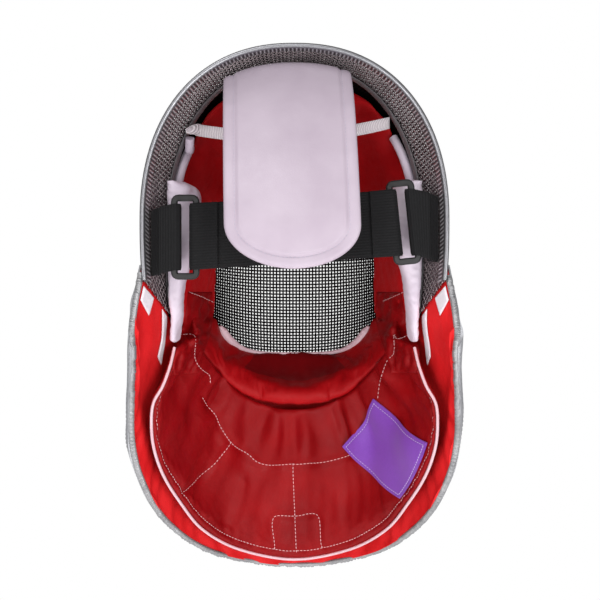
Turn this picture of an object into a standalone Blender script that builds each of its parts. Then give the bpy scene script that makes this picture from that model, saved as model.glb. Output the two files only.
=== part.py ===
"""A fencing mask: a woven wire dome with its side band, a padded lining, a two-layer bib, a spring
tongue and an elastic head strap. Metres, +Z up, the face looks along -Y and the back is open.

Every shape is first laid out from the middle of the rim at ear height: x to the wearer's left,
depth forward of the rim (so y is minus the depth), z up. One empty then carries all of it to the
object's own origin, the middle of the forehead pad's inner face.
"""
import bmesh
import bpy
from math import asin, copysign, cos, pi, radians, sin, sqrt
from mathutils import Vector

WELD = 1e-6
CLEAR = 0.0003              # gap between pieces that touch

# Wire shell
MESH_WALL = 0.002           # two crossing wires
RIM_HALF_WIDTH = 0.115
RIM_TOP = 0.1335            # rise of the arch over its widest height
RIM_BELOW = 0.200           # how the sides would run on below
RIM_WIDEST_Z = 0.010
RIM_ROUNDNESS = 2.25
BAND_DEPTH = 0.038          # rim to seam
FRONT_HALF_WIDTH = 0.104
FRONT_RISE = 0.146
FRONT_DROP = 0.168
FRONT_REACH = 0.198
FRONT_MIDDLE_Z = -0.005
FRONT_ROUNDNESS = 2.3
JAW_START_Z = -0.035        # the jaw edge leaves the rim here
JAW_SLOPE = 0.664           # and drops this much for each metre forward

# Rim channel and seam strip
RIM_SHEET = 0.0008
RIM_LEG = 0.006
STRIP_WIDTH = 0.008
STRIP_THICK = 0.0012

# Padding
PAD_THICK = 0.013
PAD_DRAWN_IN = 0.0014      # smoothing draws the long forehead pad in by about this much
PAD_REAR = 0.050            # depth of the forehead pad's rear edge at its ends
PAD_REAR_TOP = 0.092        # and over the top of the arch
CHEEK_REAR = 0.0445
OPENING_HALF_WIDTH = 0.080
OPENING_TOP_Z = 0.038
OPENING_BOTTOM_Z = -0.102
OPENING_SQUARENESS = 3.2
CHEEK_TOP_DEG = 12.0        # direction, round the face, where cheek and forehead pads part
CHEEK_LOW_DEG = -22.0       # and where cheek and chin pads part
PAD_PART_DEG = -0.1
CHIN_PAD_THICK = 0.017
CHIN_SHELF = 0.047          # how far the chin shelf reaches back from the mesh edge
CHIN_STRAIGHT = 0.75        # and how straight back it points in the middle, so its lip is round
TAB_REAR = 0.0265
TAB_FRONT = 0.0435
TAB_TOP_Z = 0.044
TAB_BOTTOM_Z = -0.0825
TAB_WIDTH = 0.027
ROLL_RADIUS = 0.003
ROLL_LOW_DEG = 15.0         # the rolls run up beside the forehead pad between these directions
ROLL_TOP_DEG = 36.0

# Bib
BIB_FLARE = 0.010           # the bib's widest place stands this far outside the rim
BIB_BELOW_CHIN = 0.155
BIB_TUCK = 0.016            # overlap with the mesh above the jaw edge
LINING_THICK = 0.002
COVER_THICK = 0.0015
INNER_BIB_THICK = 0.006
INNER_BIB_HALF_WIDTH = 0.111
INNER_BIB_BELOW_CHIN = 0.146
PUCKER = 0.0022
INNER_BIB_SEAT = -0.0019    # its top edge is this far above the shelf cage, which smoothing draws in
PIPING_RADIUS = 0.0016

# Tongue
TONGUE_WIDTH = 0.097
TONGUE_THICK = 0.0035
TONGUE_BACK = 0.058         # how far behind the rim it reaches
TONGUE_DROP = 0.160         # from its top to its rounded end
TONGUE_TOP_Z = 0.133
TONGUE_ROUND = 0.032
TONGUE_SHIFT = 0.0065       # its mount sits off the middle, towards the wearer's left
TONGUE_SWAY = -0.006        # and its end hangs over to the right by this much more
TONGUE_BOW = 0.004
TONGUE_FLATTEN = 0.040      # it follows the mesh arch at its mount and is flat this far down

# Head strap
STRAP_WIDTH = 0.050
STRAP_THICK = 0.002
STRAP_DEPTH = -0.004        # just behind the rim plane
BUCKLE_HEIGHT = 0.064
BUCKLE_WIDTH = 0.0215
BUCKLE_BAR = 0.005
BUCKLE_THICK = 0.0035
BUCKLE_X = 0.0822
BUCKLE_TILT_DEG = {"left": 0.0, "right": -6.0}
BUCKLE_Z = {"left": -0.0017, "right": 0.0095}
WALL_Z = {"left": -0.0055, "right": 0.005}
STRAP_RETURN = 0.016
STRAP_FIXED_REAR = 0.0085   # the outer straps lie on the band between these depths
STRAP_FIXED_FRONT = 0.023
STRAP_OFF_RIM = 0.0048      # how far inside the shell they pass the rim channel
ELASTIC_WIDTH = 0.0095
ELASTIC_THICK = 0.002
ELASTIC_END_Z = {"left": 0.086, "right": 0.0915}
ELASTIC_SAG = 0.012
ELASTIC_INSET = 0.0036

# Small pieces
TAPE_THICK = 0.001
LABEL_THICK = 0.0008

SIDES = {"left": 1.0, "right": -1.0}

# Outer border of the bib from its lowest point to its end at the rim: shares of the half width,
# of the height from the rim's lower end to the bottom, and of the chin's depth.
BIB_BORDER = (
    # out,   down,  forward
    (0.000, 1.000, 1.000),
    (0.256, 0.984, 0.955),
    (0.598, 0.915, 0.780),
    (0.840, 0.782, 0.510),
    (0.957, 0.632, 0.290),
    (1.000, 0.496, 0.175),
    (0.986, 0.347, 0.075),
    (0.968, 0.200, 0.030),
)
# Outer border of the inner bib, in shares of its own half width and height and the chin's depth
INNER_BORDER = (
    (0.000, 1.000, 0.935),
    (0.423, 0.948, 0.820),
    (0.690, 0.852, 0.625),
    (0.835, 0.735, 0.430),
    (0.935, 0.630, 0.285),
    (0.990, 0.530, 0.200),
    (1.000, 0.445, 0.175),
    (0.985, 0.385, 0.175),
    (0.925, 0.335, 0.185),
    (0.875, 0.270, 0.215),
    (0.850, 0.215, 0.250),
)
# White ear tabs from top to tail: shares of their height and of their width
EAR_TAB = (
    # down, wide
    (0.00, 0.42),
    (0.05, 0.86),
    (0.14, 1.00),
    (0.32, 0.92),
    (0.57, 0.60),
    (0.78, 0.36),
    (0.96, 0.24),
    (1.00, 0.18),
)
# Tapes on the bib's lining, in shares across it (at the top, at the foot) and down it
TAPES = {
    # name:        (top from, to), (foot from, to), (down from, to)
    "bib_patch": ((0.008, 0.045), (0.008, 0.045), (0.175, 0.330)),
    "hanging_tab": ((0.080, 0.100), (0.122, 0.142), (0.175, 0.400)),
}
# Corners of the label on the inner bib: shares across and down, clockwise from its top
LABEL_CORNERS = ((0.780, 0.20), (0.625, 0.31), (0.738, 0.945), (0.853, 0.930))
# Tongue's side line from its mount down: share of its reach back and of its drop
TONGUE_LINE = (
    (-0.750, 0.005),
    (-0.500, 0.000),
    (-0.200, 0.012),
    (0.020, 0.070),
    (0.350, 0.220),
    (0.690, 0.465),
    (0.940, 0.750),
    (1.000, 1.000),
)


def clear_scene():
    for item in list(bpy.data.objects):
        bpy.data.objects.remove(item)


def collection(name):
    group = bpy.data.collections.new(name)
    bpy.context.scene.collection.children.link(group)
    return group


def paint(item, colour, roughness, metallic=0.0):
    material = bpy.data.materials.new(item.name)
    material.use_nodes = True
    shader = material.node_tree.nodes["Principled BSDF"]
    shader.inputs["Base Color"].default_value = (*colour, 1.0)
    shader.inputs["Roughness"].default_value = roughness
    shader.inputs["Metallic"].default_value = metallic
    item.data.materials.append(material)
    return item


RED = ((0.42, 0.01, 0.015), 0.55)
WHITE = ((0.75, 0.73, 0.76), 0.45)
BLACK = ((0.015, 0.015, 0.017), 0.7)
SILVER = ((0.55, 0.55, 0.56), 0.35, 1.0)
PURPLE = ((0.19, 0.03, 0.38), 0.5)


def mix(low, high, share):
    return low + (high - low) * share


def power(value, exponent):
    return copysign(abs(value) ** exponent, value)


def smooth_line(rows, count, mirror=False):
    """count + 1 points on a smooth curve through the rows, evenly spaced along it.

    A mirrored line starts in the middle of the object and runs on through it."""
    rows = [Vector(row) for row in rows]
    before = rows[0] * 2 - rows[1]
    if mirror:
        before = Vector((-rows[1].x, rows[1].y, rows[1].z))
    ends = [before] + rows + [rows[-1] * 2 - rows[-2]]
    fine = []
    for a, b, c, d in zip(ends, ends[1:], ends[2:], ends[3:]):
        for step in range(16):
            t = step / 16
            fine.append(0.5 * (2 * b + (c - a) * t + (2 * a - 5 * b + 4 * c - d) * t ** 2
                               + (3 * b - a - 3 * c + d) * t ** 3))
    fine.append(rows[-1])
    return spaced(fine, count)


def spaced(points, count):
    """count + 1 points at even distances along a line of points."""
    lengths = [0.0]
    for a, b in zip(points, points[1:]):
        lengths.append(lengths[-1] + (b - a).length)
    found, at = [], 0
    for step in range(count + 1):
        goal = lengths[-1] * step / count
        while at < len(points) - 2 and lengths[at + 1] < goal:
            at += 1
        span = lengths[at + 1] - lengths[at]
        found.append(points[at].lerp(points[at + 1], (goal - lengths[at]) / span))
    return found


def along(points, share):
    """The point at a share, 0 to 1, of a list of evenly spaced points."""
    place = min(max(share, 0.0), 1.0) * (len(points) - 1)
    low = min(int(place), len(points) - 2)
    return points[low].lerp(points[low + 1], place - low)


def section(depth):
    """The shell's outline at a depth: half width, middle height, rise, drop, roundness."""
    seam = front_share(BAND_DEPTH)
    if depth >= BAND_DEPTH:
        share = max(front_share(depth), WELD)
        return (FRONT_HALF_WIDTH * share, FRONT_MIDDLE_Z, FRONT_RISE * share,
                FRONT_DROP * share, FRONT_ROUNDNESS)
    t = depth / BAND_DEPTH
    return (mix(RIM_HALF_WIDTH, FRONT_HALF_WIDTH * seam, t), mix(RIM_WIDEST_Z, FRONT_MIDDLE_Z, t),
            mix(RIM_TOP, FRONT_RISE * seam, t), mix(RIM_BELOW, FRONT_DROP * seam, t),
            mix(RIM_ROUNDNESS, FRONT_ROUNDNESS, t))


def front_share(depth):
    return max(1.0 - abs(depth / FRONT_REACH) ** FRONT_ROUNDNESS, 0.0) ** (1 / FRONT_ROUNDNESS)


def depth_of_share(share):
    return FRONT_REACH * max(1.0 - share ** FRONT_ROUNDNESS, 0.0) ** (1 / FRONT_ROUNDNESS)


def outline(depth, angle, outset=0.0):
    """A point of the shell at a depth and an angle round it, moved outwards in its plane."""
    wide, middle, rise, drop, roundness = section(depth)
    tall = rise if sin(angle) >= 0 else drop
    x, z = wide * power(cos(angle), 2 / roundness), tall * power(sin(angle), 2 / roundness)
    normal = Vector((power(x / wide, roundness - 1) / wide, power(z / tall, roundness - 1) / tall))
    normal.normalize()
    return Vector((x + normal.x * outset, -depth, middle + z + normal.y * outset))


def jaw_z(depth):
    return JAW_START_Z - JAW_SLOPE * depth


def angle_at(depth, height):
    """The angle, right of the lowest point, where the shell has a height at a depth."""
    _, middle, rise, drop, roundness = section(depth)
    rel = height - middle
    share = min(abs(rel) / (rise if rel > 0 else drop), 1.0)
    return copysign(asin(share ** (roundness / 2)), rel)


def front_point(angle, share, inset=0.0):
    """A point of the front dome; share 1 is its widest outline and 0 its pole."""
    depth = depth_of_share(share)
    point = outline(depth, angle)
    tall = FRONT_RISE if point.z > FRONT_MIDDLE_Z else FRONT_DROP
    steep = FRONT_ROUNDNESS - 1
    normal = Vector((power(point.x / FRONT_HALF_WIDTH, steep) / FRONT_HALF_WIDTH,
                     -power(depth / FRONT_REACH, steep) / FRONT_REACH,
                     power((point.z - FRONT_MIDDLE_Z) / tall, steep) / tall))
    return point - normal.normalized() * inset


def solve(test, low, high):
    """Where test turns from true to false between low and high."""
    for _ in range(40):
        middle = (low + high) / 2
        if test(middle):
            low = middle
        else:
            high = middle
    return low


def edge_share(angle):
    """The dome's share at its seam, or where the jaw edge cuts it."""
    seam = front_share(BAND_DEPTH + CLEAR)

    def over_jaw(share):
        return outline(depth_of_share(share), angle).z > jaw_z(depth_of_share(share))

    if over_jaw(seam):
        return seam
    return solve(over_jaw, 0.0, seam)


def opening_share(angle):
    """The dome's share at the edge of the padding's face opening."""
    middle = (OPENING_TOP_Z + OPENING_BOTTOM_Z) / 2
    half = (OPENING_TOP_Z - OPENING_BOTTOM_Z) / 2

    def inside(share):
        point = outline(depth_of_share(share), angle)
        return (abs(point.x / OPENING_HALF_WIDTH) ** OPENING_SQUARENESS
                + abs((point.z - middle) / half) ** OPENING_SQUARENESS) < 1

    return solve(inside, 0.0, 1.0)


def grid(name, place, columns, rows, group, split=False):
    """An open surface whose corner (u, v), each 0 to 1, lies at place(u, v)."""
    mesh = bpy.data.meshes.new(name)
    shape = bmesh.new()
    bmesh.ops.create_grid(shape, x_segments=columns, y_segments=rows, size=0.5)
    for vert in shape.verts:
        vert.co = place(vert.co.x + 0.5, vert.co.y + 0.5)
    bmesh.ops.remove_doubles(shape, verts=shape.verts, dist=WELD)
    if split:
        bmesh.ops.triangulate(shape, faces=shape.faces, quad_method="SHORT_EDGE")
    shape.to_mesh(mesh)
    shape.free()
    mesh.shade_smooth()
    item = bpy.data.objects.new(name, mesh)
    group.objects.link(item)
    return item


def thicken(item, thick, offset=-1.0):
    wall = item.modifiers.new("wall", "SOLIDIFY")
    wall.thickness = thick
    wall.offset = offset
    return item


def soften(item, levels=1):
    soft = item.modifiers.new("soft", "SUBSURF")
    soft.levels = levels
    soft.render_levels = levels
    return item


def loft(name, rings, group, closed=False):
    """A solid through rings of as many points each; its ends are closed flat."""
    mesh = bpy.data.meshes.new(name)
    shape = bmesh.new()
    rows = [[shape.verts.new(point) for point in ring] for ring in rings]
    pairs = list(zip(rows, rows[1:])) + ([(rows[-1], rows[0])] if closed else [])
    for low, high in pairs:
        for k in range(len(low)):
            nxt = (k + 1) % len(low)
            shape.faces.new((low[k], low[nxt], high[nxt], high[k]))
    if not closed:
        shape.faces.new(rows[0][::-1])
        shape.faces.new(rows[-1])
    bmesh.ops.recalc_face_normals(shape, faces=shape.faces)
    shape.to_mesh(mesh)
    shape.free()
    mesh.shade_smooth()
    mesh.set_sharp_from_angle(angle=radians(40))
    item = bpy.data.objects.new(name, mesh)
    group.objects.link(item)
    return item


def tube(name, points, radius, group):
    curve = bpy.data.curves.new(name, "CURVE")
    curve.dimensions = "3D"
    curve.bevel_depth = radius
    curve.bevel_resolution = 1
    curve.use_fill_caps = True
    curve.render_resolution_u = 0
    spline = curve.splines.new("POLY")
    spline.points.add(len(points) - 1)
    for knot, point in zip(spline.points, points):
        knot.co = (*point, 1.0)
    item = bpy.data.objects.new(name, curve)
    group.objects.link(item)
    return item


def wire_shell(group):
    """The front dome and the side band, both two crossing wires thick."""

    def dome(u, v):
        angle = 2 * pi * u - pi / 2
        edge = edge_share(angle)
        return front_point(angle, edge * cos(v * pi / 2) ** (2 / FRONT_ROUNDNESS))

    def band(u, v):
        depth = mix(2 * CLEAR, BAND_DEPTH - CLEAR, v)
        low = angle_at(depth, jaw_z(depth))
        return outline(depth, mix(low, pi - low, u))

    paint(thicken(grid("front_mesh", dome, 44, 8, group), MESH_WALL, 0.0), *SILVER)
    paint(thicken(grid("side_mesh", band, 40, 2, group), MESH_WALL, 0.0), *SILVER)


def rim_and_strip(group):
    """The folded channel over the band's rear edge, and the strip over the seam inside."""
    low = angle_at(0.0, jaw_z(0.0) + 2 * CLEAR)
    gap = MESH_WALL / 2 + CLEAR + RIM_SHEET / 2

    def channel(u, v):
        """Outer leg, round back, inner leg."""
        angle = mix(low, pi - low, u)
        turn = pi * min(max((v - 0.25) / 0.5, 0.0), 1.0)
        leg = max(abs(v - 0.5) - 0.25, 0.0) / 0.25 * RIM_LEG
        return outline(leg - gap * sin(turn), angle, gap * cos(turn))

    paint(thicken(grid("rim", channel, 40, 6, group), RIM_SHEET, 0.0), *SILVER)
    inset = MESH_WALL / 2 + 3 * CLEAR + STRIP_THICK / 2

    def strip(u, v):
        depth = BAND_DEPTH + STRIP_WIDTH * (v - 0.5)
        start = angle_at(depth, jaw_z(depth) + 0.002)
        return outline(depth, mix(start, pi - start, u), -inset)

    paint(thicken(grid("seam_strip", strip, 40, 1, group), STRIP_THICK, 0.0), *SILVER)


def forehead_rear(angle):
    """Depth of the forehead pad's rear edge: further forward over the top."""
    low = radians(CHEEK_TOP_DEG)
    share = 1 - abs(angle - pi / 2) / (pi / 2 - low)
    return mix(PAD_REAR, PAD_REAR_TOP, sin(share * pi / 2) ** 2)


def cheek_rear(_):
    return CHEEK_REAR


def pad_rings(angles, rear, thick, drawn_in=0.0, steps=3):
    """Sections of a pad that lines the dome from its rear depth to the face opening."""
    near = MESH_WALL / 2 + 2 * CLEAR - drawn_in
    rings = []
    for angle in angles:
        back = min(front_share(rear(angle)), edge_share(angle) - 0.005)
        front = opening_share(angle)
        shares = [mix(back, front, k / steps) for k in range(steps + 1)]
        inner = [mix(back - 0.012, front + 0.012, k / steps) for k in range(steps + 1)]
        ring = [front_point(angle, share, near) for share in shares]
        ring += [front_point(angle, share, near + thick) for share in reversed(inner)]
        rings.append(ring)
    return rings


def padding(group):
    """Forehead, cheek and chin pads round the face opening."""
    part = radians(PAD_PART_DEG)
    top, low = radians(CHEEK_TOP_DEG), radians(CHEEK_LOW_DEG)
    angles = [mix(top + part, pi - top - part, k / 10) for k in range(11)]
    pad = loft("forehead_pad", pad_rings(angles, forehead_rear, PAD_THICK, PAD_DRAWN_IN), group)
    paint(soften(pad), *RED)
    for side in SIDES:
        angles = [mix(low + part, top - part, k / 6) for k in range(7)]
        if side == "right":
            angles = [pi - angle for angle in angles]
        pad = loft(f"cheek_pad_{side}", pad_rings(angles, cheek_rear, PAD_THICK), group)
        paint(soften(pad), *RED)
    chin_pad(group, low)


class ChinStation:
    """One direction round the chin: the jaw edge there and how far the shelf reaches back."""

    def __init__(self, angle):
        low = radians(CHEEK_LOW_DEG)
        middle = max(1 - abs(angle + pi / 2) / (pi / 2 + low), 0.0)
        self.ease = middle * middle * (3 - 2 * middle)
        self.share = edge_share(angle)
        self.edge = front_point(angle, self.share)
        self.inward = front_point(angle, self.share, 1.0) - self.edge
        self.inward.z = 0.0
        straight = CHIN_STRAIGHT * sin(pi / 2 * min(1.5 * middle, 1.0))
        self.inward = self.inward.normalized().lerp(Vector((0.0, 1.0, 0.0)), straight).normalized()
        self.reach = mix(PAD_THICK + 0.003, CHIN_SHELF, self.ease)
        self.underside = -mix(0.004, 0.011, self.ease)

    def shelf(self, back, up):
        """A point so many shares of the shelf back from the jaw edge, and so far up."""
        return self.edge + self.inward * (back * self.reach) + Vector((0.0, 0.0, up))


def chin_pad(group, low):
    """The chin cup: it lines the jaw mesh and reaches back as a shelf with a round lip."""
    rings, count = [], 12
    part = radians(PAD_PART_DEG)
    near = MESH_WALL / 2 + 2 * CLEAR - PAD_DRAWN_IN / 2
    for k in range(count + 1):
        angle = mix(-pi - low + part, low - part, k / count)
        at = ChinStation(angle)
        front = min(opening_share(angle), at.share - 0.02)
        rings.append([
            front_point(angle, front, near),
            front_point(angle, mix(at.share, front, 0.5), near),
            front_point(angle, at.share - 0.004, near),
            at.shelf(0.35, -mix(0.004, 0.007, at.ease)),
            at.shelf(0.80, at.underside),
            at.shelf(1.00, -0.003),
            at.shelf(0.90, 0.007),
            at.shelf(0.62, mix(0.016, 0.009, at.ease)),
            front_point(angle, mix(at.share, front, 0.35), near + CHIN_PAD_THICK * 0.9),
            front_point(angle, front + 0.02, near + CHIN_PAD_THICK),
        ])
    paint(soften(loft("chin_pad", rings, group)), *RED)


def inner_wall(depth, height):
    """The mesh's inner half width at a depth and height."""
    return outline(depth, angle_at(depth, max(height, jaw_z(depth)))).x - MESH_WALL / 2


def ear_tabs(group):
    """White padded rear edges of the cheek pads, wide at the ear and narrow at the jaw."""
    near = STRIP_THICK + 5 * CLEAR
    for side, sign in SIDES.items():
        rings = []
        for share, wide in EAR_TAB:
            z = mix(TAB_TOP_Z, TAB_BOTTOM_Z, share)
            wide = wide * TAB_WIDTH
            ring = []
            middle = (TAB_REAR + TAB_FRONT) / 2
            for depth, x in ((TAB_REAR, 0.10), (TAB_REAR, 0.90), (middle, 1.0), (TAB_FRONT, 0.85),
                             (TAB_FRONT, 0.15), (middle, 0.0)):
                out = min(inner_wall(depth, z), inner_wall(TAB_FRONT, z) + 0.004) - near
                ring.append(Vector((sign * (out - wide * x), -depth, z)))
            rings.append(ring)
        paint(soften(loft(f"ear_tab_{side}", rings, group)), *WHITE)


def edge_rolls(group):
    """White rolls down the forehead pad's rear edge."""
    inset = MESH_WALL / 2 + 4 * CLEAR + ROLL_RADIUS
    for side in SIDES:
        points = []
        for k in range(9):
            angle = radians(mix(ROLL_LOW_DEG, ROLL_TOP_DEG, k / 8))
            depth = forehead_rear(angle) - ROLL_RADIUS - 2 * CLEAR
            if side == "right":
                angle = pi - angle
            points.append(front_point(angle, front_share(depth), inset))
        paint(tube(f"edge_roll_{side}", points, ROLL_RADIUS, group), *WHITE)


def jaw_line(count):
    """Points of the jaw edge from the chin to the rim's lower end."""
    points = []
    fine = 240
    for k in range(fine + 1):
        share = k / fine
        depth = CHIN_DEPTH * (1 - share * share)
        points.append(outline(depth, angle_at(depth, jaw_z(depth))))
    return spaced(points, count)


def chin_depth():
    share = edge_share(-pi / 2)
    return depth_of_share(share)


CHIN_DEPTH = chin_depth()
CHIN_Z = jaw_z(CHIN_DEPTH)


def border(rows, half_width, top, bottom, count):
    """A border line from a table of shares: out, down and forward."""
    return smooth_line([(out * half_width, -forward * CHIN_DEPTH, mix(top, bottom, down))
                        for out, down, forward in rows], count, mirror=True)


def shell_level(point):
    """Under 1 inside the shell's surface, 1 on it."""
    wide, middle, rise, drop, roundness = section(-point.y)
    tall = rise if point.z > middle else drop
    return abs(point.x / wide) ** roundness + abs((point.z - middle) / tall) ** roundness


def shell_normal(point):
    step = 0.0004
    axes = (Vector((step, 0, 0)), Vector((0, step, 0)), Vector((0, 0, step)))
    return Vector([shell_level(point + axis) - shell_level(point - axis)
                   for axis in axes]).normalized()


def mesh_outside(half, raise_by, outset):
    """The jaw edge at a share of its way, moved up the mesh and off its outside."""
    jaw = along(JAW, half)
    ahead = along(JAW, min(half + 0.02, 1.0)) - along(JAW, max(half - 0.02, 0.0))
    if half < 0.02:
        ahead = Vector((1.0, 0.0, 0.0))
    normal = shell_normal(jaw + Vector((0.0, 0.0, 0.002)))
    up = ahead.cross(normal).normalized()
    up = up if up.z > 0 else -up
    place = jaw + up * raise_by
    reach = 0.02
    offset = solve(lambda s: shell_level(place + normal * s) < 1, -reach, reach)
    return place + normal * (offset + outset)


def inner_top_line(count):
    """Where the inner bib hangs from the underside of the chin shelf."""
    points = []
    for k in range(count + 1):
        at = ChinStation(mix(-pi / 2, radians(CHEEK_LOW_DEG), k / count))
        drop = INNER_BIB_THICK / 2 + INNER_BIB_SEAT
        points.append(at.shelf(0.80, at.underside - drop))
    return spaced(points, count)


JAW = jaw_line(60)
BIB_LINE = border(BIB_BORDER, RIM_HALF_WIDTH + BIB_FLARE, JAW_START_Z,
                  CHIN_Z - BIB_BELOW_CHIN, 60)
INNER_LINE = border(INNER_BORDER, INNER_BIB_HALF_WIDTH, JAW_START_Z,
                    CHIN_Z - INNER_BIB_BELOW_CHIN, 60)
INNER_TOP_LINE = inner_top_line(60)


def mirrored(place):
    """Turns a place from the middle to one end into one from the left end to the right."""

    def whole(u, v):
        half = 1 - 2 * u
        point = place(abs(half), v)
        point.x = copysign(point.x, half) if abs(half) > WELD else 0.0
        return point

    return whole


def bib_point(half, v):
    """The outer bib's inner face: down the mesh's outside, over the jaw, out to its border."""
    depth = -along(JAW, half).y
    over_rim = max(0.0, 1 - depth / (3 * RIM_LEG)) * 1.6 * (RIM_SHEET + CLEAR)
    clear = MESH_WALL / 2 + 2 * CLEAR + over_rim
    top = mesh_outside(half, BIB_TUCK, clear)
    low = mesh_outside(half, 0.0, clear)
    end = along(BIB_LINE, half)
    out = Vector((end.x, end.y, 0.0)).normalized()
    knee = 0.16
    if v < knee:
        return top.lerp(low, v / knee)
    t = (v - knee) / (1 - knee)
    length = (end - low).length
    down = Vector((0.0, 0.0, -0.35 * length)) + out * (0.08 * length)
    rise = Vector((0.0, 0.0, 0.25 * length)) + out * (0.06 * length)
    a, b, c = (1 - t) ** 3, 3 * (1 - t) ** 2 * t, 3 * (1 - t) * t * t
    return a * low + b * (low + down) + c * (end + rise) + t ** 3 * end


def inner_bib_point(half, v):
    """The inner bib's middle surface, with soft puckers that fan out from the chin."""
    top, end = along(INNER_TOP_LINE, half), along(INNER_LINE, half)
    out = Vector((end.x, end.y, 0.0)).normalized()
    swell = 0.05 * (end - top).length * sin(pi * v)
    fold = PUCKER * sin(half * 31.0 + 0.6) * sin(pi * min(v * 1.35, 1.0))
    return top.lerp(end, v) + out * (swell + fold)


def bibs(group):
    lining = mirrored(bib_point)
    item = grid("bib_lining", lining, 32, 6, group, split=True)
    paint(thicken(item, LINING_THICK, 1.0), *RED)

    cover = bpy.data.objects.new("bib_cover", item.data.copy())
    cover.data.materials.clear()
    group.objects.link(cover)
    for vert in cover.data.vertices:
        vert.co += vert.normal * (LINING_THICK + 3 * CLEAR)
    paint(thicken(cover, COVER_THICK, 1.0), *SILVER)

    inner = mirrored(inner_bib_point)
    item = grid("inner_bib", inner, 32, 6, group)
    paint(thicken(item, INNER_BIB_THICK, 0.0), *RED)

    points = []
    for k in range(33):
        half = 1 - k / 16
        end = inner_bib_point(abs(half), 1.0)
        way = (end - inner_bib_point(abs(half), 0.94)).normalized()
        edge = (inner_bib_point(min(abs(half) + 0.02, 1.0), 1.0)
                - inner_bib_point(max(abs(half) - 0.02, 0.0), 1.0)).normalized()
        point = end + (way - edge * way.dot(edge)).normalized() * (PIPING_RADIUS + CLEAR * 4)
        point.x = copysign(point.x, half) if abs(half) > WELD else 0.0
        points.append(point)
    paint(tube("inner_bib_piping", points, PIPING_RADIUS, group), *WHITE)


def offset_place(place, distance):
    """The same surface moved along its own normal."""
    step = 0.004

    def moved(u, v):
        u0, u1 = max(u - step, 0.0), min(u + step, 1.0)
        v0, v1 = max(v - step, 0.0), min(v + step, 1.0)
        normal = (place(u1, v) - place(u0, v)).cross(place(u, v1) - place(u, v0)).normalized()
        point = place(u, v) + normal * distance
        if abs(u - 0.5) < WELD:
            point.x = 0.0
        return point

    return moved


def label(group):
    """The patch sewn on the inner bib, on its face towards the neck."""
    inner = mirrored(inner_bib_point)
    gap = INNER_BIB_THICK / 2 + 2.5 * CLEAR + LABEL_THICK

    def place(u, v):
        (a, b), (c, d), (e, f), (g, h) = LABEL_CORNERS
        across = mix(mix(a, c, u), mix(g, e, u), v)
        down = mix(mix(b, d, u), mix(h, f, u), v)
        return offset_place(inner, -gap)(across, down)

    paint(thicken(grid("label", place, 5, 8, group), LABEL_THICK, 1.0), *PURPLE)


def height_at(depth, x):
    """Height of the shell's middle surface over a place."""
    wide, middle, rise, _, roundness = section(depth)
    return middle + rise * max(1 - abs(x / wide) ** roundness, 0.0) ** (1 / roundness)


def tongue(group):
    """The spring plate: bent over at the top, hanging behind the head, its end round."""
    line = smooth_line([(back * TONGUE_BACK, TONGUE_TOP_Z - down * TONGUE_DROP, 0.0)
                        for back, down in TONGUE_LINE], 60)
    length = sum((b - a).length for a, b in zip(line, line[1:]))

    def place(u, v):
        # rows close up towards the round end
        share = sin(v * pi / 2) ** 0.9
        spot = along(line, share)
        left = (1 - share) * length
        round_share = min(left / TONGUE_ROUND, 1.0)
        half = TONGUE_WIDTH / 2 * sqrt(max(1 - (1 - round_share) ** 2, 0.0))
        across = (0.5 - u) * 2
        middle = TONGUE_SHIFT + TONGUE_SWAY * share
        bow = TONGUE_BOW * (across * across * (half / TONGUE_WIDTH * 2) ** 2) * share
        x = middle + across * half
        depth = max(-spot.x, 0.0)
        arch = outline(depth, pi / 2).z - height_at(depth, x)
        follow = max(0.0, 1 - max(TONGUE_TOP_Z - spot.y, 0.0) / TONGUE_FLATTEN)
        return Vector((x, spot.x - bow, spot.y - arch * follow))

    item = grid("tongue", place, 8, 16, group)
    paint(thicken(item, TONGUE_THICK, 0.0), *WHITE)


def hairpin(length):
    """A strap end round a buckle bar, in the strap's own plane: (along, across)."""
    wide = BUCKLE_THICK / 2 + 2 * CLEAR + STRAP_THICK / 2
    near = STRAP_THICK / 2 + 1.5 * CLEAR
    half_bar = BUCKLE_BAR / 2 - BUCKLE_THICK / 2 + CLEAR
    points = [(length - 0.011, near), (length - half_bar - 0.002, wide)]
    for k in range(7):
        turn = pi * k / 6
        points.append((length + half_bar + wide * sin(turn), wide * cos(turn)))
    points += [(length - half_bar - 0.002, -wide), (length - 0.011, -near),
               (length - STRAP_RETURN, -near)]
    return points


def strap_height(x):
    """Middle height of the head strap between and beside the buckles."""
    return mix(BUCKLE_Z["right"], BUCKLE_Z["left"], (x / BUCKLE_X + 1) / 2)


def ribbon(name, path, height, lean, group):
    """A strap on edge: path in plan, its middle height and its lean where x is."""
    points = [Vector((x, y, 0.0)) for x, y in path]

    def place(u, v):
        point = along(points, u)
        up = (v - 0.5) * STRAP_WIDTH
        return Vector((point.x - up * lean(point.x), point.y, height(point.x) + up))

    return paint(thicken(grid(name, place, len(path) - 1, 1, group), STRAP_THICK, 0.0), *BLACK)


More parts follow.
